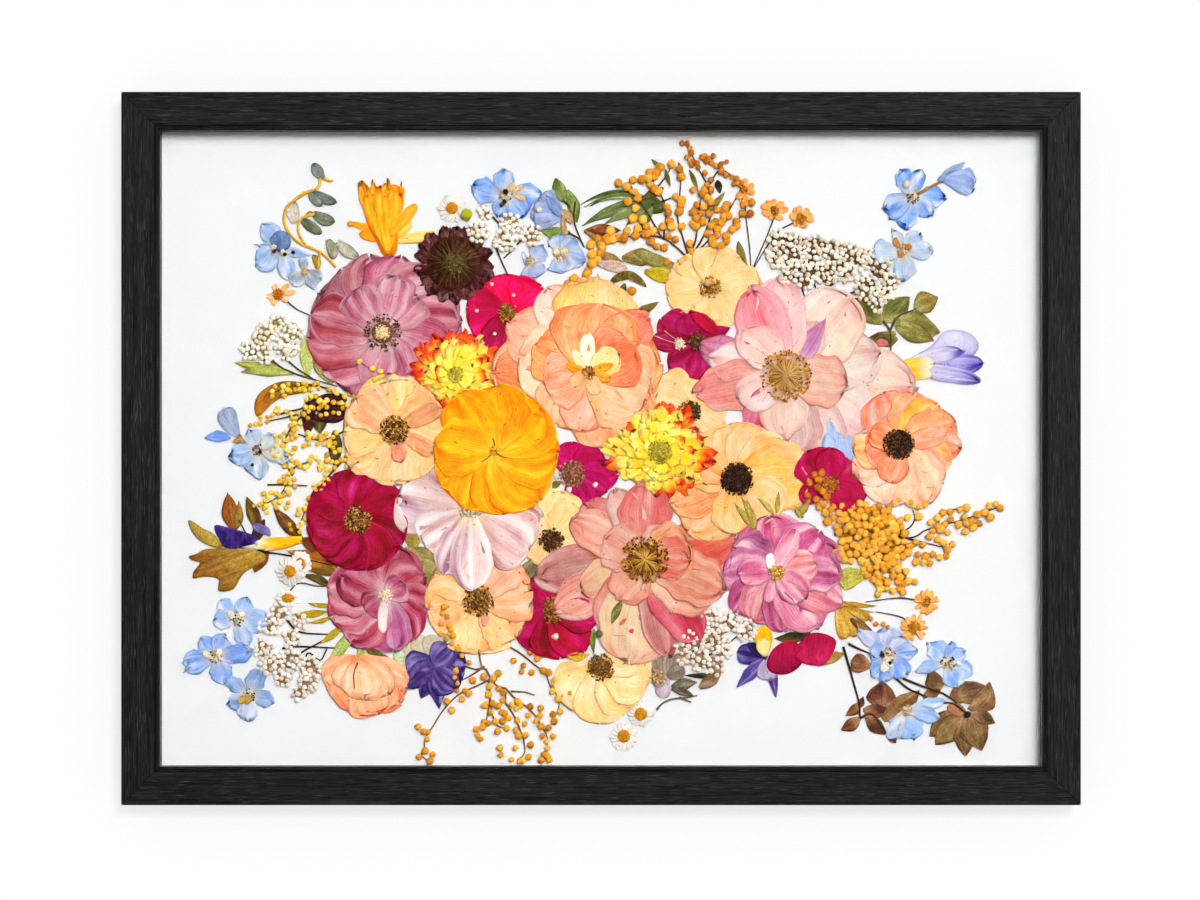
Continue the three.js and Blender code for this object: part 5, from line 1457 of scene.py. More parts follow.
specimen(
    "iris_low",
    petals((432, 662), [[404, 650, 26, "#f0e4c0"], [412, 640, 22, "#ece0c4"], [428, 636, 20, "#e4d8c0"]], "#f0e4c0",
           "sheerPetal", cup=0.6, ruffle=0.5)
    + petals((432, 662),
             [[406, 672, 28, "#6c5c9c"], [410, 690, 26, "point", "#54407e"], [420, 700, 22, "point", "#5c4a8c"]],
             "#5a4588", "darkPetal", rim=("#3a2a6a", 0.5), **irisLook)
    + petals((432, 668), [
        [404, 690, 14, "point"], [438, 710, 20, "point"], [464, 666, 34], [456, 690, 28], [450, 648, 24, "#6a5494"],
        [420, 672, 22],
    ], "#5a4588", "darkPetal", rim=("#3a2a6a", 0.5), **irisLook))
specimen(
    "mauve_rose_low",
    petals((384, 597), [
        [350, 572, 40, "#e8c8cc"], [370, 562, 36, "#ecd0d0"], [398, 548, 46, "#cc6c80"], [423, 578, 46, "#d07488"],
        [428, 610, 38, "#d4788c"], [412, 641, 42, "#d05080"], [392, 652, 38, "#d890c0"], [349, 643, 42, "#d87890"],
        [330, 618, 44, "#dc8094"], [327, 590, 44, "#d47890"], [340, 577, 36, "#c86080"], [404, 585, 26, "#cc7898"],
        [364, 612, 26, "#c86888"],
    ], "#d8849c", "sheerPetal", wash="#fdeeee", cup=0.9, ruffle=0.9, frill=0.06, throat=("#f8e8e8", 0.55),
           rim=("#a84c78", 0.3), streak=0.34, blush=("#f0c8d0", 0.6))
    + petals((384, 597), [[381, 634, 10, "tongue", "#f4e8e4"]], "#f4e8e4")
    + heart((384, 597), 7, "#f0e0c0", ["#f4e8d0", "#e8d0a8", "#d8b890"], 40))
specimen(
    "crimson_rose",
    petals((356, 520), [
        [330, 476, 56], [372, 472, 50], [404, 500, 46], [400, 545, 50], [365, 570, 54], [325, 560, 50],
        [306, 525, 56],
    ], "#b8004c", "darkPetal", wash="#ecb8d8", cup=1.0, ruffle=0.9, rim=("#c81c64", 0.3), throat=("#d06828", 0.22),
           streak=0.2, blush=("#98083c", 0.6))
    + heart((356, 520), 14, "#8a5a20", ["#b08030", "#6a3a14", "#d8a850", "#3a2010"], 130, threads=26,
            threadTint="#c89040"))
specimen(
    "peach_rose",
    petals((588, 372), [
        [660, 362, 60, "#e8b878"], [640, 432, 60, "#f5c8a0"], [605, 445, 50, "#f5c8a0"], [493, 372, 62, "#f5b890"],
        [510, 322, 54, "#f8d4c4"], [547, 287, 44, "#fcece6"], [597, 276, 70, "#fdf0b0"], [648, 317, 40, "#ec9c90"],
        [521, 356, 66, "#fdf0dc"], [535, 345, 54, "#f8c080"], [557, 424, 60, "#fce0c4"], [580, 430, 40, "#f8d0c0"],
        [648, 396, 78, "#fddcbc"], [545, 386, 48, "#fbccb8"], [600, 304, 76, "#fabc8a"], [634, 345, 56, "#f8a07c"],
    ], "#fbc79a", "petal", wash="#fcecde", cup=1.0, ruffle=0.8, frill=0.045, rim=("#f4a484", 0.4),
           throat=("#fadc98", 0.45), streak=0.14, blush=("#f8b894", 0.3))
    + petals((589, 372), [
        [587, 333, 16, "spoon", "#fff6dc"], [573, 349, 10, "#fff2c8"], [618, 352, 24, "#fbe0a0"],
        [566, 364, 9, "tongue", "#f0b820"], [613, 364, 9, "tongue", "#f0b820"], [611, 379, 11, "tongue", "#f0b850"],
        [570, 384, 14, "#f8c890"], [598, 394, 16, "#f8d0a0"],
    ], "#fbe0a0", cup=0.8)
    + heart((589, 372), 7, None, ["#6a3a10", "#8a5018", "#d89820"], 30, threads=8, threadTint="#d89828"))
specimen(
    "pink_peony",
    petals((787, 375), [
        [915, 385, 60, "#fbe4d4"], [880, 352, 50, "#f8ece0"], [870, 428, 60, "#fcece4"], [835, 455, 50, "#f4dcd4"],
        [800, 456, 44, "#ecd0c8"], [852, 295, 62, "#fdeedd"], [815, 322, 36, "#fce8d6"],
        [827, 318, 24, "point", "#d8a0c8"], [778, 278, 42, "#fde0dc"], [752, 289, 44, "#fbaab4"],
        [702, 345, 30, "#e0a0c0"], [711, 357, 32, "#fdf0e8"], [699, 393, 42, "#f6b0a4"], [752, 430, 32, "#e06890"],
        [785, 436, 40, "#f6dccc"], [848, 384, 44, "#f9d0bc"], [744, 330, 34, "#fbe0d4"], [740, 400, 34, "#fde4dc"],
    ], "#f3b2b0", "sheerPetal", cup=1.1, ruffle=1.0, frill=0.06, rim=("#ee8c98", 0.4), throat=("#fdf0e4", 0.55),
           streak=0.2, blush=("#f8a8a8", 0.22))
    + heart((787, 375), 26, "#c07c20", ["#d08c20", "#8a4a10", "#e8a830", "#a86018"], 130, inner=15, size=0.6e-3,
            threads=120, threadTint="#f4d08a", core=16))
specimen(
    "pale_blue_floret_middle",
    [patch([
        (822, 445), (828, 430), (840, 432), (857, 438), (862, 442), (857, 460), (850, 462), (835, 458), (825, 452),
    ], "#b8c8e8", "blueFloret", rim=("#8aa4d8", 0.5), ruffle=0.5)]
    + petals((838, 442), [[830, 421, 8, "spoon", "#b8c8e8"]], "#b8c8e8", "blueFloret")
    + balls([(778, 441)], 4, ["#9a9460"]),
    slot="delphinium_low_right")
specimen(
    "cream_cosmos_small",
    petals((551, 541), [
        [560, 492, 40, "fan", "#f8eab8"], [578, 508, 36], [523, 530, 34], [530, 560, 36, "#f4e0b0"], [570, 565, 36],
    ], "#f8e6b4", wash="#fcf0e4", cup=0.6, throat=("#e8cc88", 0.3))
    + heart((551, 541), 13, "#4a2a14", ["#5a3418", "#3a2010", "#8a5a28"], 120, threads=16, threadTint="#7a4c20")
    + blades([[550, 553, 554, 568, 8, "lance", "#7a8a40"]], "#7a8a40"))
specimen(
    "crimson_rose_low",
    petals((552, 612), [
        [535, 577, 24], [514, 610, 46], [520, 645, 44], [560, 659, 48, "#a8003a"], [584, 653, 36, "#c80050"],
        [597, 620, 30],
    ], "#c00064", "darkPetal", wash="#f0a8d4", blush=("#d8107c", 0.5), cup=1.0, ruffle=0.9, rim=("#98002c", 0.4),
           throat=("#8a2030", 0.35), streak=0.22)
    + heart((552, 612), 10, "#8a5020", ["#b07028", "#7a4018", "#c89040"], 80, threads=18, threadTint="#b87830",
            squash=1.5)
    + balls([(555, 638)], 3.2, ["#f4e8d0"]))
specimen(
    "cream_rose_low",
    petals((601, 669),
           [[553, 685, 36, "spoon"], [574, 712, 52], [600, 725, 46], [636, 706, 46], [650, 680, 50], [640, 655, 30]],
           "#fbe0b0", wash="#fffaf4", cup=0.7, ruffle=0.6, rim=("#f4c890", 0.4), throat=("#f0c880", 0.35))
    + blades([[567, 658, 590, 656, 10, "lance", "#e0b830"], [594, 630, 594, 656, 6, "lance", "#8a9040"]], "#e0b830")
    + heart((601, 669), 14, "#7a5020", ["#8a5a20", "#5a3814", "#b08038"], 120, threads=18, threadTint="#a87830")
    + balls([(600, 635)], 4, ["#6a6a28"]))
specimen(
    "peach_cosmos_low",
    petals((477, 602), [
        [434, 574, 32, "#fbd8a0"], [428, 610, 48, "#fcdcb0"], [478, 653, 52, "#fbe4b0"], [515, 638, 44, "#fce8b8"],
        [529, 592, 50, "#fbd8b8"], [515, 564, 30, "#f8ccb8"],
    ], "#fbd8a8", kind="fan", wash="#fcecdc", cup=0.7, ruffle=0.6, frill=0.08, notch=0.04, blush=("#f8b490", 0.5),
           streak=0.18, throat=("#f8b870", 0.35), rim=("#f8c8a0", 0.3))
    + petals((480, 608), [[484, 628, 9, "tongue", "#f8b8a0"]], "#f8b8a0")
    + heart((477, 602), 16, "#6a4018", ["#7a4c1c", "#b08030", "#4a2a10", "#d8a850"], 170, threads=26,
            threadTint="#b88838")
    + balls([
        (443, 608), (441, 615), (446, 618), (440, 625), (448, 627), (450, 632), (440, 635), (452, 637), (445, 640),
        (451, 645), (457, 650), (461, 657),
    ], 3.0, ["#e8a820", "#d89418"]))
specimen(
    "pale_clematis",
    petals((470, 512), [
        [398, 497, 56, "#e2ccc8"], [424, 546, 48, "#e6d0ce"], [443, 575, 36, "spoon", "#dcc0c4"],
        [541, 517, 36, "spoon", "#d0a8a8"], [528, 552, 54, "#ecccc8"], [472, 590, 44, "spoon", "#f4e0dc"],
    ], "#f4dccc", "petal", kind="fan", cup=0.6, ruffle=0.5, pleats=0.3, rim=("#fdf6f2", 0.45),
           throat=("#f6e6bc", 0.35), streak=0.6, blush=("#a86888", 0.75))
    + heart((470, 512), 12, "#d8c8a8", ["#e8dcc0", "#b89870", "#f4ecd8"], 60, squash=0.5, threads=14,
            threadTint="#d8c8a0"))
specimen(
    "peach_cosmos",
    petals((393, 430), [
        [385, 378, 50, "#fdeab0"], [440, 408, 48, "#fbd0a0"], [434, 462, 44, "#fce0b0"], [393, 483, 48, "#fce0b8"],
        [352, 466, 46, "#fbd8b0"], [343, 432, 46, "#fbe0b0"], [354, 398, 40, "#fbd0b0"],
    ], "#fbdcb0", kind="fan", wash="#faf4e4", cup=0.7, ruffle=0.6, frill=0.1, notch=0.05, blush=("#f8b490", 0.5),
           streak=0.18, throat=("#f8c070", 0.4), rim=("#f8d8b0", 0.3))
    + petals((393, 430), [[438, 407, 20, "#f8bc90"], [432, 452, 18, "#f8c090"], [398, 462, 16, "#f4b090"]], "#f8bc90",
             "sheerPetal", kind="fan", throat=("#f8d090", 0.4))
    + heart((393, 430), 15, "#6a4018", ["#c89030", "#5a3414", "#e0b050", "#3a2010"], 160, threads=24,
            threadTint="#b88838"))
specimen(
    "pink_rose",
    petals((645, 560), [
        [538, 577, 40, "#d8a8a8"], [556, 611, 38, "#f4c4b8"], [582, 590, 34, "#f4d8b8"], [586, 506, 40, "#eeb0b0"],
        [572, 520, 36, "#f8c8b8"], [615, 490, 30, "#f0e0dc"], [648, 482, 44, "#f0a0a0"], [668, 530, 30, "#f8d0c8"],
        [610, 633, 44, "#f0b0a0"], [630, 662, 62, "#fef0d4"], [668, 655, 30, "#e0a8a8"], [672, 612, 32, "#f8d0c0"],
        [699, 640, 38, "#e05a80"], [712, 604, 50, "#fbd8c4"], [730, 570, 50, "#f8c0a8"], [735, 538, 44, "#ec8c7c"],
        [724, 592, 44, "#f2bca8"], [690, 545, 50, "#f8c898"], [690, 560, 36, "#f09888"], [604, 540, 40, "#f8d0c4"],
        [618, 600, 36, "#f8c8b4"],
    ], "#f4c0b0", "sheerPetal", wash="#fcf2e8", cup=1.0, ruffle=0.9, frill=0.06, rim=("#e88890", 0.4),
           throat=("#fdecd8", 0.5), streak=0.2, blush=("#f6b0a8", 0.3))
    + blades([[622, 602, 612, 625, 9, "#8a8440"]], "#8a8440")
    + balls([(632, 632)], 2.4, ["#e84080"])
    + heart((645, 560), 24, "#8a4c10", ["#7a3a08", "#a05c14", "#d08c24", "#5a2c08"], 150, inner=11, size=0.65e-3,
            threads=110, threadTint="#f0c468", core=18))
specimen(
    "cream_poppy",
    petals((738, 479), [
        [690, 532, 52, "#f8c890"], [672, 503, 40, "#f6c898"], [684, 478, 30, "point", "#fbe0a8"],
        [706, 448, 44, "#f8d0b0"], [728, 424, 60, "#fbe0a8"], [760, 427, 40, "#fbe4b8"], [790, 448, 50, "#fce4a4"],
        [808, 476, 60, "#fce39a"], [776, 518, 48, "#fce4a8"], [734, 534, 40, "#fbe0a0"],
    ], "#fce0a0", wash="#fce6e0", cup=0.9, ruffle=0.8, frill=0.05, throat=("#f4b840", 0.4), rim=("#fdecc0", 0.4),
           streak=0.18, blush=("#f8cc88", 0.6))
    + heart((738, 479), 17, "#2a160c", ["#3a2010", "#1c0e08", "#5a3418"], 230, size=0.55e-3, core=15, threads=20,
            threadTint="#4a2a14"))
specimen(
    "magenta_rose_right",
    petals((831, 485), [
        [808, 452, 36], [856, 463, 28, "#c03060"], [868, 493, 30], [853, 507, 26], [802, 500, 22], [832, 448, 26],
    ], "#b80050", "darkPetal", blush=("#98043c", 0.5), cup=0.9, ruffle=0.7, rim=("#c83060", 0.35),
           throat=("#702020", 0.3))
    + heart((831, 485), 10, "#a86020", ["#c87828", "#8a4a14"], 70)
    + balls([
        (816, 475), (823, 473), (811, 483), (820, 480), (819, 488), (809, 496), (824, 492), (828, 497), (818, 500),
        (825, 505), (832, 510),
    ], 3.8, ["#e08a20", "#d07818"]))
specimen(
    "peach_poppy",
    petals((901, 444), [
        [885, 393, 48, "#fbb498"], [918, 394, 38, "#fcc08a"], [940, 405, 36, "#fcd070"], [957, 424, 42, "#fbc294"],
        [962, 446, 30, "#f9bc90"], [952, 463, 30, "#fcd090"], [943, 482, 30, "#f8c8b0"], [930, 502, 42, "#fbe0c0"],
        [887, 503, 48, "#fbe4c8"], [860, 478, 36, "#fbdcc0"], [855, 450, 34, "#fce0a0"], [868, 452, 34, "#f8b090"],
        [890, 482, 26, "#f8b088"], [872, 432, 24, "#fba878"], [950, 432, 20, "#f6b898"],
    ], "#fbb98a", wash="#fff6f6", cup=0.9, ruffle=0.7, frill=0.07, rim=("#f49078", 0.45), throat=("#f8b470", 0.35),
           streak=0.2, blush=("#f8a890", 0.35))
    + heart((901, 444), 16, "#2a160c", ["#3a2010", "#1c0e08", "#5a3418", "#7a4a1c"], 200, size=0.55e-3, core=14,
            threads=20, threadTint="#5a3418"))
mum("yellow_mum_right", (660, 452), [
    (602, 447), (605, 460), (617, 476), (640, 483), (672, 501), (690, 488), (708, 478), (718, 457), (710, 440),
    (700, 428), (680, 408), (660, 400), (648, 408), (625, 430), (608, 438),
], 15, [(1.0, 24), (0.86, 20), (0.66, 16), (0.46, 10)], lambda turn: 0.2 if 1.7 <= turn % 6.283 <= 4.9 else 0.9, 12,
    ["#b0a030", "#c8b038", "#a89028"])
specimen(
    "orange_pansy",
    petals((493, 451), [
        [440, 485, 52], [465, 508, 48], [500, 514, 44], [538, 500, 58], [557, 452, 62], [540, 405, 62],
        [496, 387, 60], [456, 396, 50], [434, 445, 50],
    ], "#ffc214", "petal", wash="#ffec98", cup=0.9, ruffle=0.8, frill=0.05, rim=("#fba808", 0.5),
           throat=("#ffe070", 0.32), streak=0.26, blush=("#ffc418", 0.6))
    + stems([
        [(493, 451), (487, 458), (480, 462)], [(493, 451), (500, 456), (506, 458)],
        [(493, 451), (494, 444), (492, 438)],
    ], 1.2, "#8a4a08", sides=4)
    + heart((493, 451), 4, "#d88a10", ["#b86a08", "#f0b030"], 24, size=0.5e-3))
specimen(
    "mauve_peony",
    petals((777, 572), [
        [838, 550, 40, "#cc78ac"], [770, 517, 56, "#d87aa8"], [820, 532, 44, "#dc84b8"], [735, 548, 44, "#c080b0"],
        [725, 575, 40, "#cc88b8"], [735, 612, 30, "#c0649c"], [755, 622, 36, "#e0a0b0"], [785, 632, 34, "#c06898"],
        [820, 627, 44, "#e09cbc"], [843, 605, 34, "#d88aa0"], [842, 575, 34, "#d080b0"], [740, 575, 24, "#dc84b2"],
        [818, 565, 30, "#ecb0b8"], [797, 532, 20, "tongue", "#f0b0d0"], [768, 603, 12, "tongue", "#eaa4c8"],
        [806, 600, 28, "#de90b6"],
    ], "#c86ca4", "petal", wash="#ffffec", cup=1.0, ruffle=0.9, frill=0.06, rim=("#b03c84", 0.4),
           throat=("#ecc0dc", 0.45), streak=0.32, blush=("#f0c0dc", 0.7))
    + petals((773, 572), [[771, 554, 9, "tongue", "#fbf4f0"]], "#fbf4f0")
    + heart((778, 573), 8, "#c88a28", ["#e8b040", "#a86a18", "#f8d070"], 60, threads=10, threadTint="#e0a840"))
fans = [
    [757, 530, 735, 503, 8, "lance"], [757, 530, 742, 497, 8, "lance"], [757, 530, 748, 500, 8, "lance"],
    [775, 515, 758, 498, 6, "lance"], [778, 514, 780, 492, 6, "lance"], [800, 518, 812, 498, 8, "lance"],
    [805, 518, 795, 505, 6, "lance", "#b0a050"],
]
specimen("peony_leaf_fans", blades(fans, "#c8b058", pleats=0.25, rim=("#4a4a18", 0.5)), slot="leaf_sprig_right")
specimen(
    "loose_beads",
    stems([[(358, 361), (365, 366), (373, 372)]], 1.0, "#8a6a28", sides=4)
    + balls([(358, 361), (371, 368), (379, 371), (373, 379)], 3.0, ["#f8e050", "#f0d040"]),
    slot="mimosa_left")
print("blossoms laid")


# ---- The frame: four mitred rails ----
rails = {
    "halfWidth": 0.300, "halfHeight": 0.223, "front": -0.032,
    "section": [(0, 0.8), (0.8, 0), (21, 0), (21, 1.2), (21.4, 0.7), (22, 0.5), (23, 1.4), (23, 3.5), (23.8, 3.5),
                (23.8, 7), (20.2, 7), (20.2, 32), (0, 32)],   # (inward, back from the front face), mm
    "mitreGap": 0.00015,
    "round": 0.3,             # corner radius, mm
    "slice": 0.012,
    "wander": 0.05,           # how far the planed faces wander, mm
    # the last tint on the next line is pale grey, painted on as highlights where the pore edges catch the light
    "dark": "#0a0a0a", "light": "#292828", "pore": "#040404", "glintTint": "#484848",
    # the grain and the painted glints on the pore edges: how fine each is along and across the rail, per metre, and
    # its detail
    "lines": (14.0, 650.0, 4.0), "pores": (60.0, 3200.0, 2.0), "glintFlecks": (75.0, 2000.0, 1.0),
    "broad": (9.0, 60.0, 3.0), "grainDepth": 0.2e-3,
}


def roundedSection(points, radius):
    rounded = []
    for i, point in enumerate(points):
        here = np.array(point, float)
        before = np.array(points[i - 1], float) - here
        after = np.array(points[(i + 1) % len(points)], float) - here
        reach = min(radius, 0.35 * np.linalg.norm(before), 0.35 * np.linalg.norm(after))
        first = here + before / np.linalg.norm(before) * reach
        last = here + after / np.linalg.norm(after) * reach
        rounded += [first, 0.25 * first + 0.5 * here + 0.25 * last, last]
    return np.array(rounded)


def railPiece(name, along, inward, halfLong, halfAcross, seed):
    section = roundedSection(rails["section"], rails["round"])
    inside, depth = section[:, 0] * 1e-3, section[:, 1] * 1e-3
    slices = int(2 * halfLong / rails["slice"])
    t = np.linspace(-1, 1, slices)[:, None]
    reach = t * (halfLong - inside - rails["mitreGap"])[None, :]
    sway = rails["wander"] * 1e-3 * (waves(reach, 3, 15, 60) + 0.4 * waves(reach + inside * 2, 3, 60, 160))
    face = ((section[:, 0] > 0.5) & (section[:, 0] < 20.9) & (section[:, 1] < 0.5))[None, :]
    y = rails["front"] + depth[None, :] + np.where(face, np.maximum(sway, 0), 0)
    x = along[0] * reach + inward[0] * (inside[None, :] - halfAcross)
    z = along[1] * reach + inward[1] * (inside[None, :] - halfAcross) + layout["middleZ"]
    n = len(section)
    index = np.arange(slices * n).reshape(slices, n)
    nxt = np.roll(index, -1, 1)
    quads = np.stack([index[:-1], nxt[:-1], nxt[1:], index[1:]], -1).reshape(-1, 4).tolist()
    faces = quads + [index[0, ::-1].tolist(), index[-1].tolist()]
    if along[0] * inward[1] - along[1] * inward[0] > 0:
        faces = [face[::-1] for face in faces]
    mesh = bpy.data.meshes.new(name)
    mesh.from_pydata(np.stack([x, y, z], -1).reshape(-1, 3).tolist(), [], faces)
    mesh.polygons.foreach_set("use_smooth", [False] * len(mesh.polygons))
    arc = np.concatenate([[0], np.cumsum(np.linalg.norm(np.diff(section, axis=0), axis=1))]) * 1e-3
    grown = np.stack([reach, np.broadcast_to(arc[None, :], reach.shape), np.full(reach.shape, seed)], -1)
    mesh.attributes.new("grown", "FLOAT_VECTOR", "POINT").data.foreach_set("vector", grown.ravel())
    mesh.materials.append(stainedWood)
    piece = bpy.data.objects.new(name, mesh)
    bpy.context.scene.collection.objects.link(piece)
    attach(piece, "root")
    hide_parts(name)
    return piece


def makeStainedWood():
    # open-grain wood planed and stained black: growth lines some 1.5 mm apart and pores 0.3 mm wide along the rail,
    # and pale flecks painted on as highlights where the pore edges catch the light
    material = bpy.data.materials.new("blackStainedWood")
    material.use_nodes = True
    tree = material.node_tree
    tree.nodes.clear()
    grown = addNode(tree, "ShaderNodeAttribute", attribute_name="grown")
    parts = addNode(tree, "ShaderNodeSeparateXYZ", {0: grown.outputs["Vector"]})

    def streaks(alongScale, acrossScale, detail):
        a = addNode(tree, "ShaderNodeMath", {0: parts.outputs["X"], 1: alongScale}, operation="MULTIPLY")
        b = addNode(tree, "ShaderNodeMath", {0: parts.outputs["Y"], 1: acrossScale}, operation="MULTIPLY")
        space = addNode(tree, "ShaderNodeCombineXYZ", {"X": a.outputs[0], "Y": b.outputs[0], "Z": parts.outputs["Z"]})
        return addNode(tree, "ShaderNodeTexNoise",
                       {"Vector": space.outputs[0], "Scale": 1.0, "Detail": detail, "Roughness": 0.6})

    lines = streaks(*rails["lines"])
    pores = streaks(*rails["pores"])
    broad = streaks(*rails["broad"])
    lineMix = addNode(tree, "ShaderNodeMapRange", {"Value": lines.outputs["Fac"], "From Min": 0.35, "From Max": 0.7})
    body = addNode(tree, "ShaderNodeMix", {0: lineMix.outputs[0], 6: rgba(rails["dark"]), 7: rgba(rails["light"])},
                   data_type="RGBA")
    poreMix = addNode(tree, "ShaderNodeMapRange", {"Value": pores.outputs["Fac"], "From Min": 0.56, "From Max": 0.66,
                                                 "To Max": 0.75})
    holed = addNode(tree, "ShaderNodeMix", {0: poreMix.outputs[0], 6: body.outputs[2], 7: rgba(rails["pore"])},
                    data_type="RGBA")
    # pale flecks along the grain: painted highlights where the edges of the pores catch the light
    glintFlecks = streaks(*rails["glintFlecks"])
    glintMix = addNode(tree, "ShaderNodeMapRange",
                       {"Value": glintFlecks.outputs["Fac"], "From Min": 0.63, "From Max": 0.7, "To Max": 0.7})
    woodWithPaintedGlints = addNode(tree, "ShaderNodeMix", {0: glintMix.outputs[0], 6: holed.outputs[2], 7: rgba(rails["glintTint"])},
                   data_type="RGBA")
    tone = addNode(tree, "ShaderNodeMapRange", {"Value": broad.outputs["Fac"], "From Min": 0.3, "From Max": 0.7,
                                              "To Min": 0.82, "To Max": 1.18})
    colour = addNode(tree, "ShaderNodeVectorMath", {0: woodWithPaintedGlints.outputs[2], "Scale": tone.outputs[0]}, operation="SCALE")
    grainHeight = addNode(tree, "ShaderNodeMath", {0: lines.outputs["Fac"], 1: poreMix.outputs[0]},
                          operation="SUBTRACT")
    bump = addNode(tree, "ShaderNodeBump",
                   {"Height": grainHeight.outputs[0], "Strength": 0.5, "Distance": rails["grainDepth"]})
    roughness = addNode(tree, "ShaderNodeMapRange", {"Value": lines.outputs["Fac"], "From Min": 0.3, "From Max": 0.7,
                                                   "To Min": 0.42, "To Max": 0.6})
    surface = addNode(tree, "ShaderNodeBsdfPrincipled", {
        "Base Color": colour.outputs["Vector"], "Roughness": roughness.outputs[0], "Normal": bump.outputs[0],
        "Specular IOR Level": 0.16})
    addNode(tree, "ShaderNodeOutputMaterial", {"Surface": surface.outputs[0]})
    return material


stainedWood = makeStainedWood()
railPiece("rail_top", (1, 0), (0, -1), rails["halfWidth"], rails["halfHeight"], 1.3)
railPiece("rail_bottom", (1, 0), (0, 1), rails["halfWidth"], rails["halfHeight"], 4.1)
railPiece("rail_left", (0, 1), (1, 0), rails["halfHeight"], rails["halfWidth"], 7.7)
railPiece("rail_right", (0, 1), (-1, 0), rails["halfHeight"], rails["halfWidth"], 9.2)


# ---- Glass, board, spacers, back and hanger ----
def sheetFinish(name, low, high, scale, stretch, roughness, strength, metallic=0.0):
    # a flat material, mottled at one scale and again at a fifth of it
    material = bpy.data.materials.new(name)
    material.use_nodes = True
    tree = material.node_tree
    tree.nodes.clear()
    where = addNode(tree, "ShaderNodeTexCoord")
    long = addNode(tree, "ShaderNodeMapping", {"Vector": where.outputs["Object"], "Scale": stretch})
    broad = addNode(tree, "ShaderNodeTexNoise",
                    {"Vector": long.outputs[0], "Scale": 1 / scale, "Detail": 5.0, "Roughness": 0.6})
    fine = addNode(tree, "ShaderNodeTexNoise", {"Vector": long.outputs[0], "Scale": 5 / scale, "Detail": 3.0})
    mixed = addNode(tree, "ShaderNodeMath", {0: broad.outputs["Fac"], 1: fine.outputs["Fac"]}, operation="ADD")
    share = addNode(tree, "ShaderNodeMapRange", {"Value": mixed.outputs[0], "From Min": 0.75, "From Max": 1.25})
    colour = addNode(tree, "ShaderNodeMix", {0: share.outputs[0], 6: rgba(low), 7: rgba(high)}, data_type="RGBA")
    bump = addNode(tree, "ShaderNodeBump", {"Height": mixed.outputs[0], "Strength": strength, "Distance": 0.1e-3})
    surface = addNode(tree, "ShaderNodeBsdfPrincipled", {"Base Color": colour.outputs[2], "Roughness": roughness,
                                                         "Metallic": metallic, "Normal": bump.outputs[0]})
    addNode(tree, "ShaderNodeOutputMaterial", {"Surface": surface.outputs[0]})
    return material


flatFinishes = {
    "mount_board": sheetFinish("whiteMountCard", "#e2e3e4", "#e9eaeb", 1.4e-3, (1, 1, 1), 0.75, 0.08),
    "back_panel": sheetFinish("pressedHardboard", "#5a3f28", "#84613f", 2.5e-3, (1, 1, 0.6), 0.7, 0.5),
    "hanger": sheetFinish("zincPlatedSteel", "#9a9c9e", "#c4c6c8", 3e-3, (1, 1, 1), 0.34, 0.1, metallic=1.0),
    "spacer": sheetFinish("blackPaintedSpacer", "#242120", "#332f2d", 1.2e-3, (1, 1, 1), 0.55, 0.3),
}
for nodeName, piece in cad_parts.items():
    kind = "spacer" if nodeName.startswith("spacer") else nodeName
    if kind in flatFinishes:
        piece.data.materials.clear()
        piece.data.materials.append(flatFinishes[kind])


glassLook = {"colour": (0.99, 0.995, 0.992, 1), "ior": 1.45, "gloss": 0.12}


def makeGlass():
    material = bpy.data.materials.new("clearFloatGlass")
    material.use_nodes = True
    tree = material.node_tree
    tree.nodes.clear()
    surface = addNode(tree, "ShaderNodeBsdfPrincipled", {
        "Base Color": glassLook["colour"], "Roughness": 0.0, "IOR": glassLook["ior"], "Transmission Weight": 1.0,
        "Specular IOR Level": glassLook["gloss"]})
    addNode(tree, "ShaderNodeOutputMaterial", {"Surface": surface.outputs[0]})
    return material


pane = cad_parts["glass_pane"]
pane.data.materials.clear()
pane.data.materials.append(makeGlass())
pane.visible_shadow = False
print("frame and glass made")


# ---- Stage: a wall with an opening behind the frame, so that the back is lit too ----
wallLook = {
    "halfWidth": 3.0,
    "low": -2.2,
    "high": 1.8,
    "y": 1.2e-3,
    "inset": 0.4e-3,
    "colour": "#9c9c9c",
    "glow": 0.7,
}


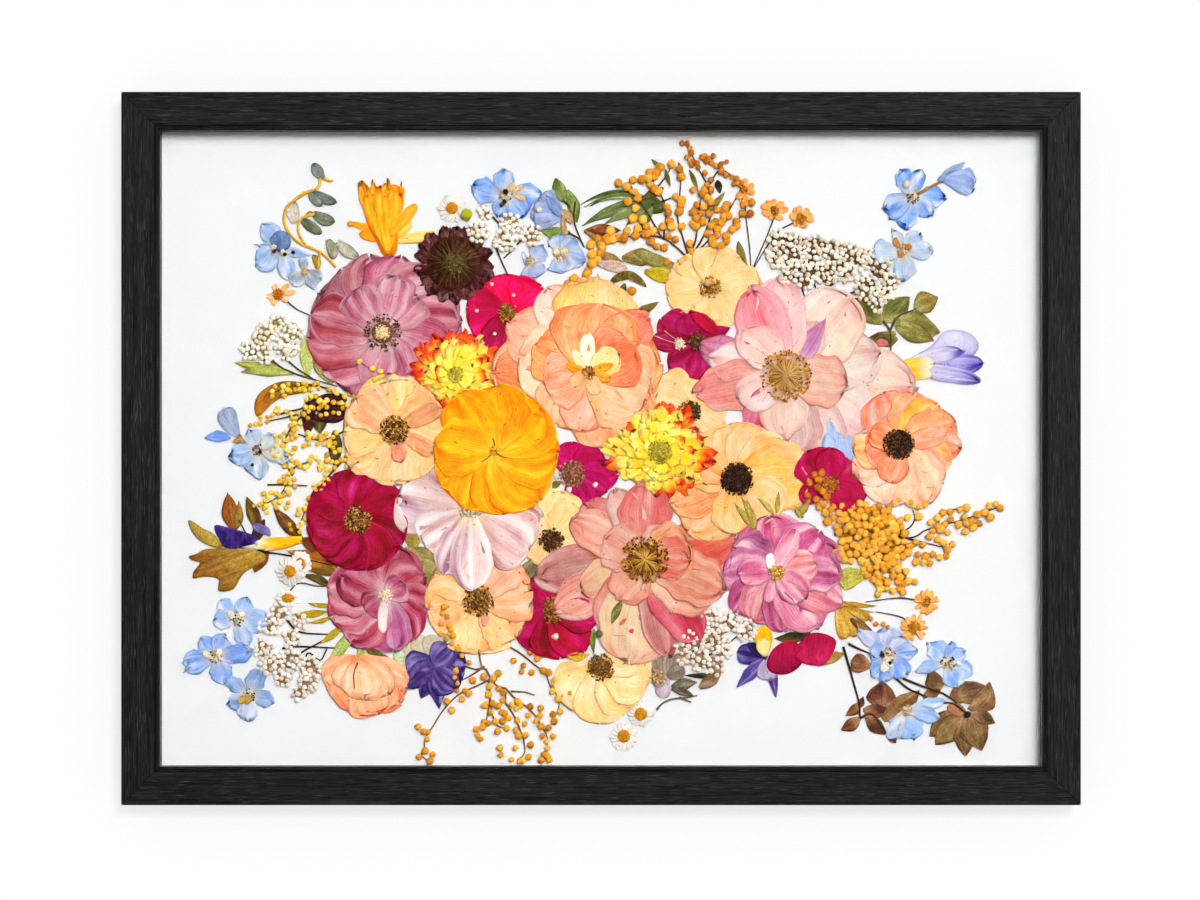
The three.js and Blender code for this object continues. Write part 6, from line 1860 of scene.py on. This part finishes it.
def makeWall():
    w, h = rails["halfWidth"] - wallLook["inset"], rails["halfHeight"] - wallLook["inset"]
    middle = layout["middleZ"]
    outer = [(-wallLook["halfWidth"], wallLook["low"]), (wallLook["halfWidth"], wallLook["low"]),
             (wallLook["halfWidth"], wallLook["high"]), (-wallLook["halfWidth"], wallLook["high"])]
    inner = [(-w, middle - h), (w, middle - h), (w, middle + h), (-w, middle + h)]
    mesh = bpy.data.meshes.new("wall")
    mesh.from_pydata([(x, wallLook["y"], z) for x, z in outer + inner], [],
                     [(i, (i + 1) % 4, 4 + (i + 1) % 4, 4 + i) for i in range(4)])
    material = bpy.data.materials.new("paintedWall")
    material.use_nodes = True
    tree = material.node_tree
    tree.nodes.clear()
    side = addNode(tree, "ShaderNodeNewGeometry")
    paint = addNode(tree, "ShaderNodeBsdfDiffuse", {"Color": rgba(wallLook["colour"])})
    glow = addNode(tree, "ShaderNodeEmission", {"Strength": wallLook["glow"]})
    lit = addNode(tree, "ShaderNodeAddShader", {0: paint.outputs[0], 1: glow.outputs[0]})
    clear = addNode(tree, "ShaderNodeBsdfTransparent")
    mix = addNode(tree, "ShaderNodeMixShader",
                  {0: side.outputs["Backfacing"], 1: lit.outputs[0], 2: clear.outputs[0]})
    addNode(tree, "ShaderNodeOutputMaterial", {"Surface": mix.outputs[0]})
    mesh.materials.append(material)
    wall = bpy.data.objects.new("wall", mesh)
    bpy.context.scene.collection.objects.link(wall)
    return wall


makeWall()

lights = {
    "key": {"at": (1.05, -6.0, 1.18), "size": 1.0, "power": 166.0},
    "back": {"at": (-0.6, 2.2, 0.6), "size": 1.5, "power": 40.0},
}
daylight = {"colour": (0.99, 0.995, 1.0, 1), "strength": 0.56}


def makeLight(name, v):
    light = bpy.data.lights.new(name, "AREA")
    light.shape = "SQUARE"
    light.size = v["size"]
    light.energy = v["power"]
    lamp = bpy.data.objects.new(name, light)
    lamp.location = v["at"]
    aim = Vector((0, 0, layout["middleZ"])) - Vector(v["at"])
    lamp.rotation_euler = aim.to_track_quat("-Z", "Y").to_euler()
    lamp.visible_transmission = False  # its light reaches the board by shadow rays, once
    bpy.context.scene.collection.objects.link(lamp)


for lightName, values in lights.items():
    makeLight(lightName, values)

world = bpy.data.worlds.new("studio")
bpy.context.scene.world = world
world.use_nodes = True
world.cycles_visibility.transmission = False
world.cycles_visibility.glossy = False
world.node_tree.nodes["Background"].inputs[0].default_value = daylight["colour"]
world.node_tree.nodes["Background"].inputs[1].default_value = daylight["strength"]

eye = {"lens": 135.0, "sensor": 36.0, "distance": 2.8125, "shift": (-1 / 1200, -1.5 / 1200), "reach": 50.0}
camera = bpy.data.cameras.new("camera")
camera.lens = eye["lens"]
camera.sensor_width = eye["sensor"]
camera.shift_x, camera.shift_y = eye["shift"]
camera.clip_end = eye["reach"]
cameraObject = bpy.data.objects.new("camera", camera)
cameraObject.location = (0, rails["front"] - eye["distance"], layout["middleZ"])
cameraObject.rotation_euler = (math.radians(90), 0, 0)
bpy.context.scene.collection.objects.link(cameraObject)
bpy.context.scene.camera = cameraObject
bpy.context.scene.view_settings.view_transform = "Standard"
print("stage, lights and camera set")

faceCount = sum(len(m.loops) - 2 * len(m.polygons) for m in bpy.data.meshes if m.users)
print("heap", round(float(heap.max()) * 1e3, 1), "mm,", faceCount, "triangles")
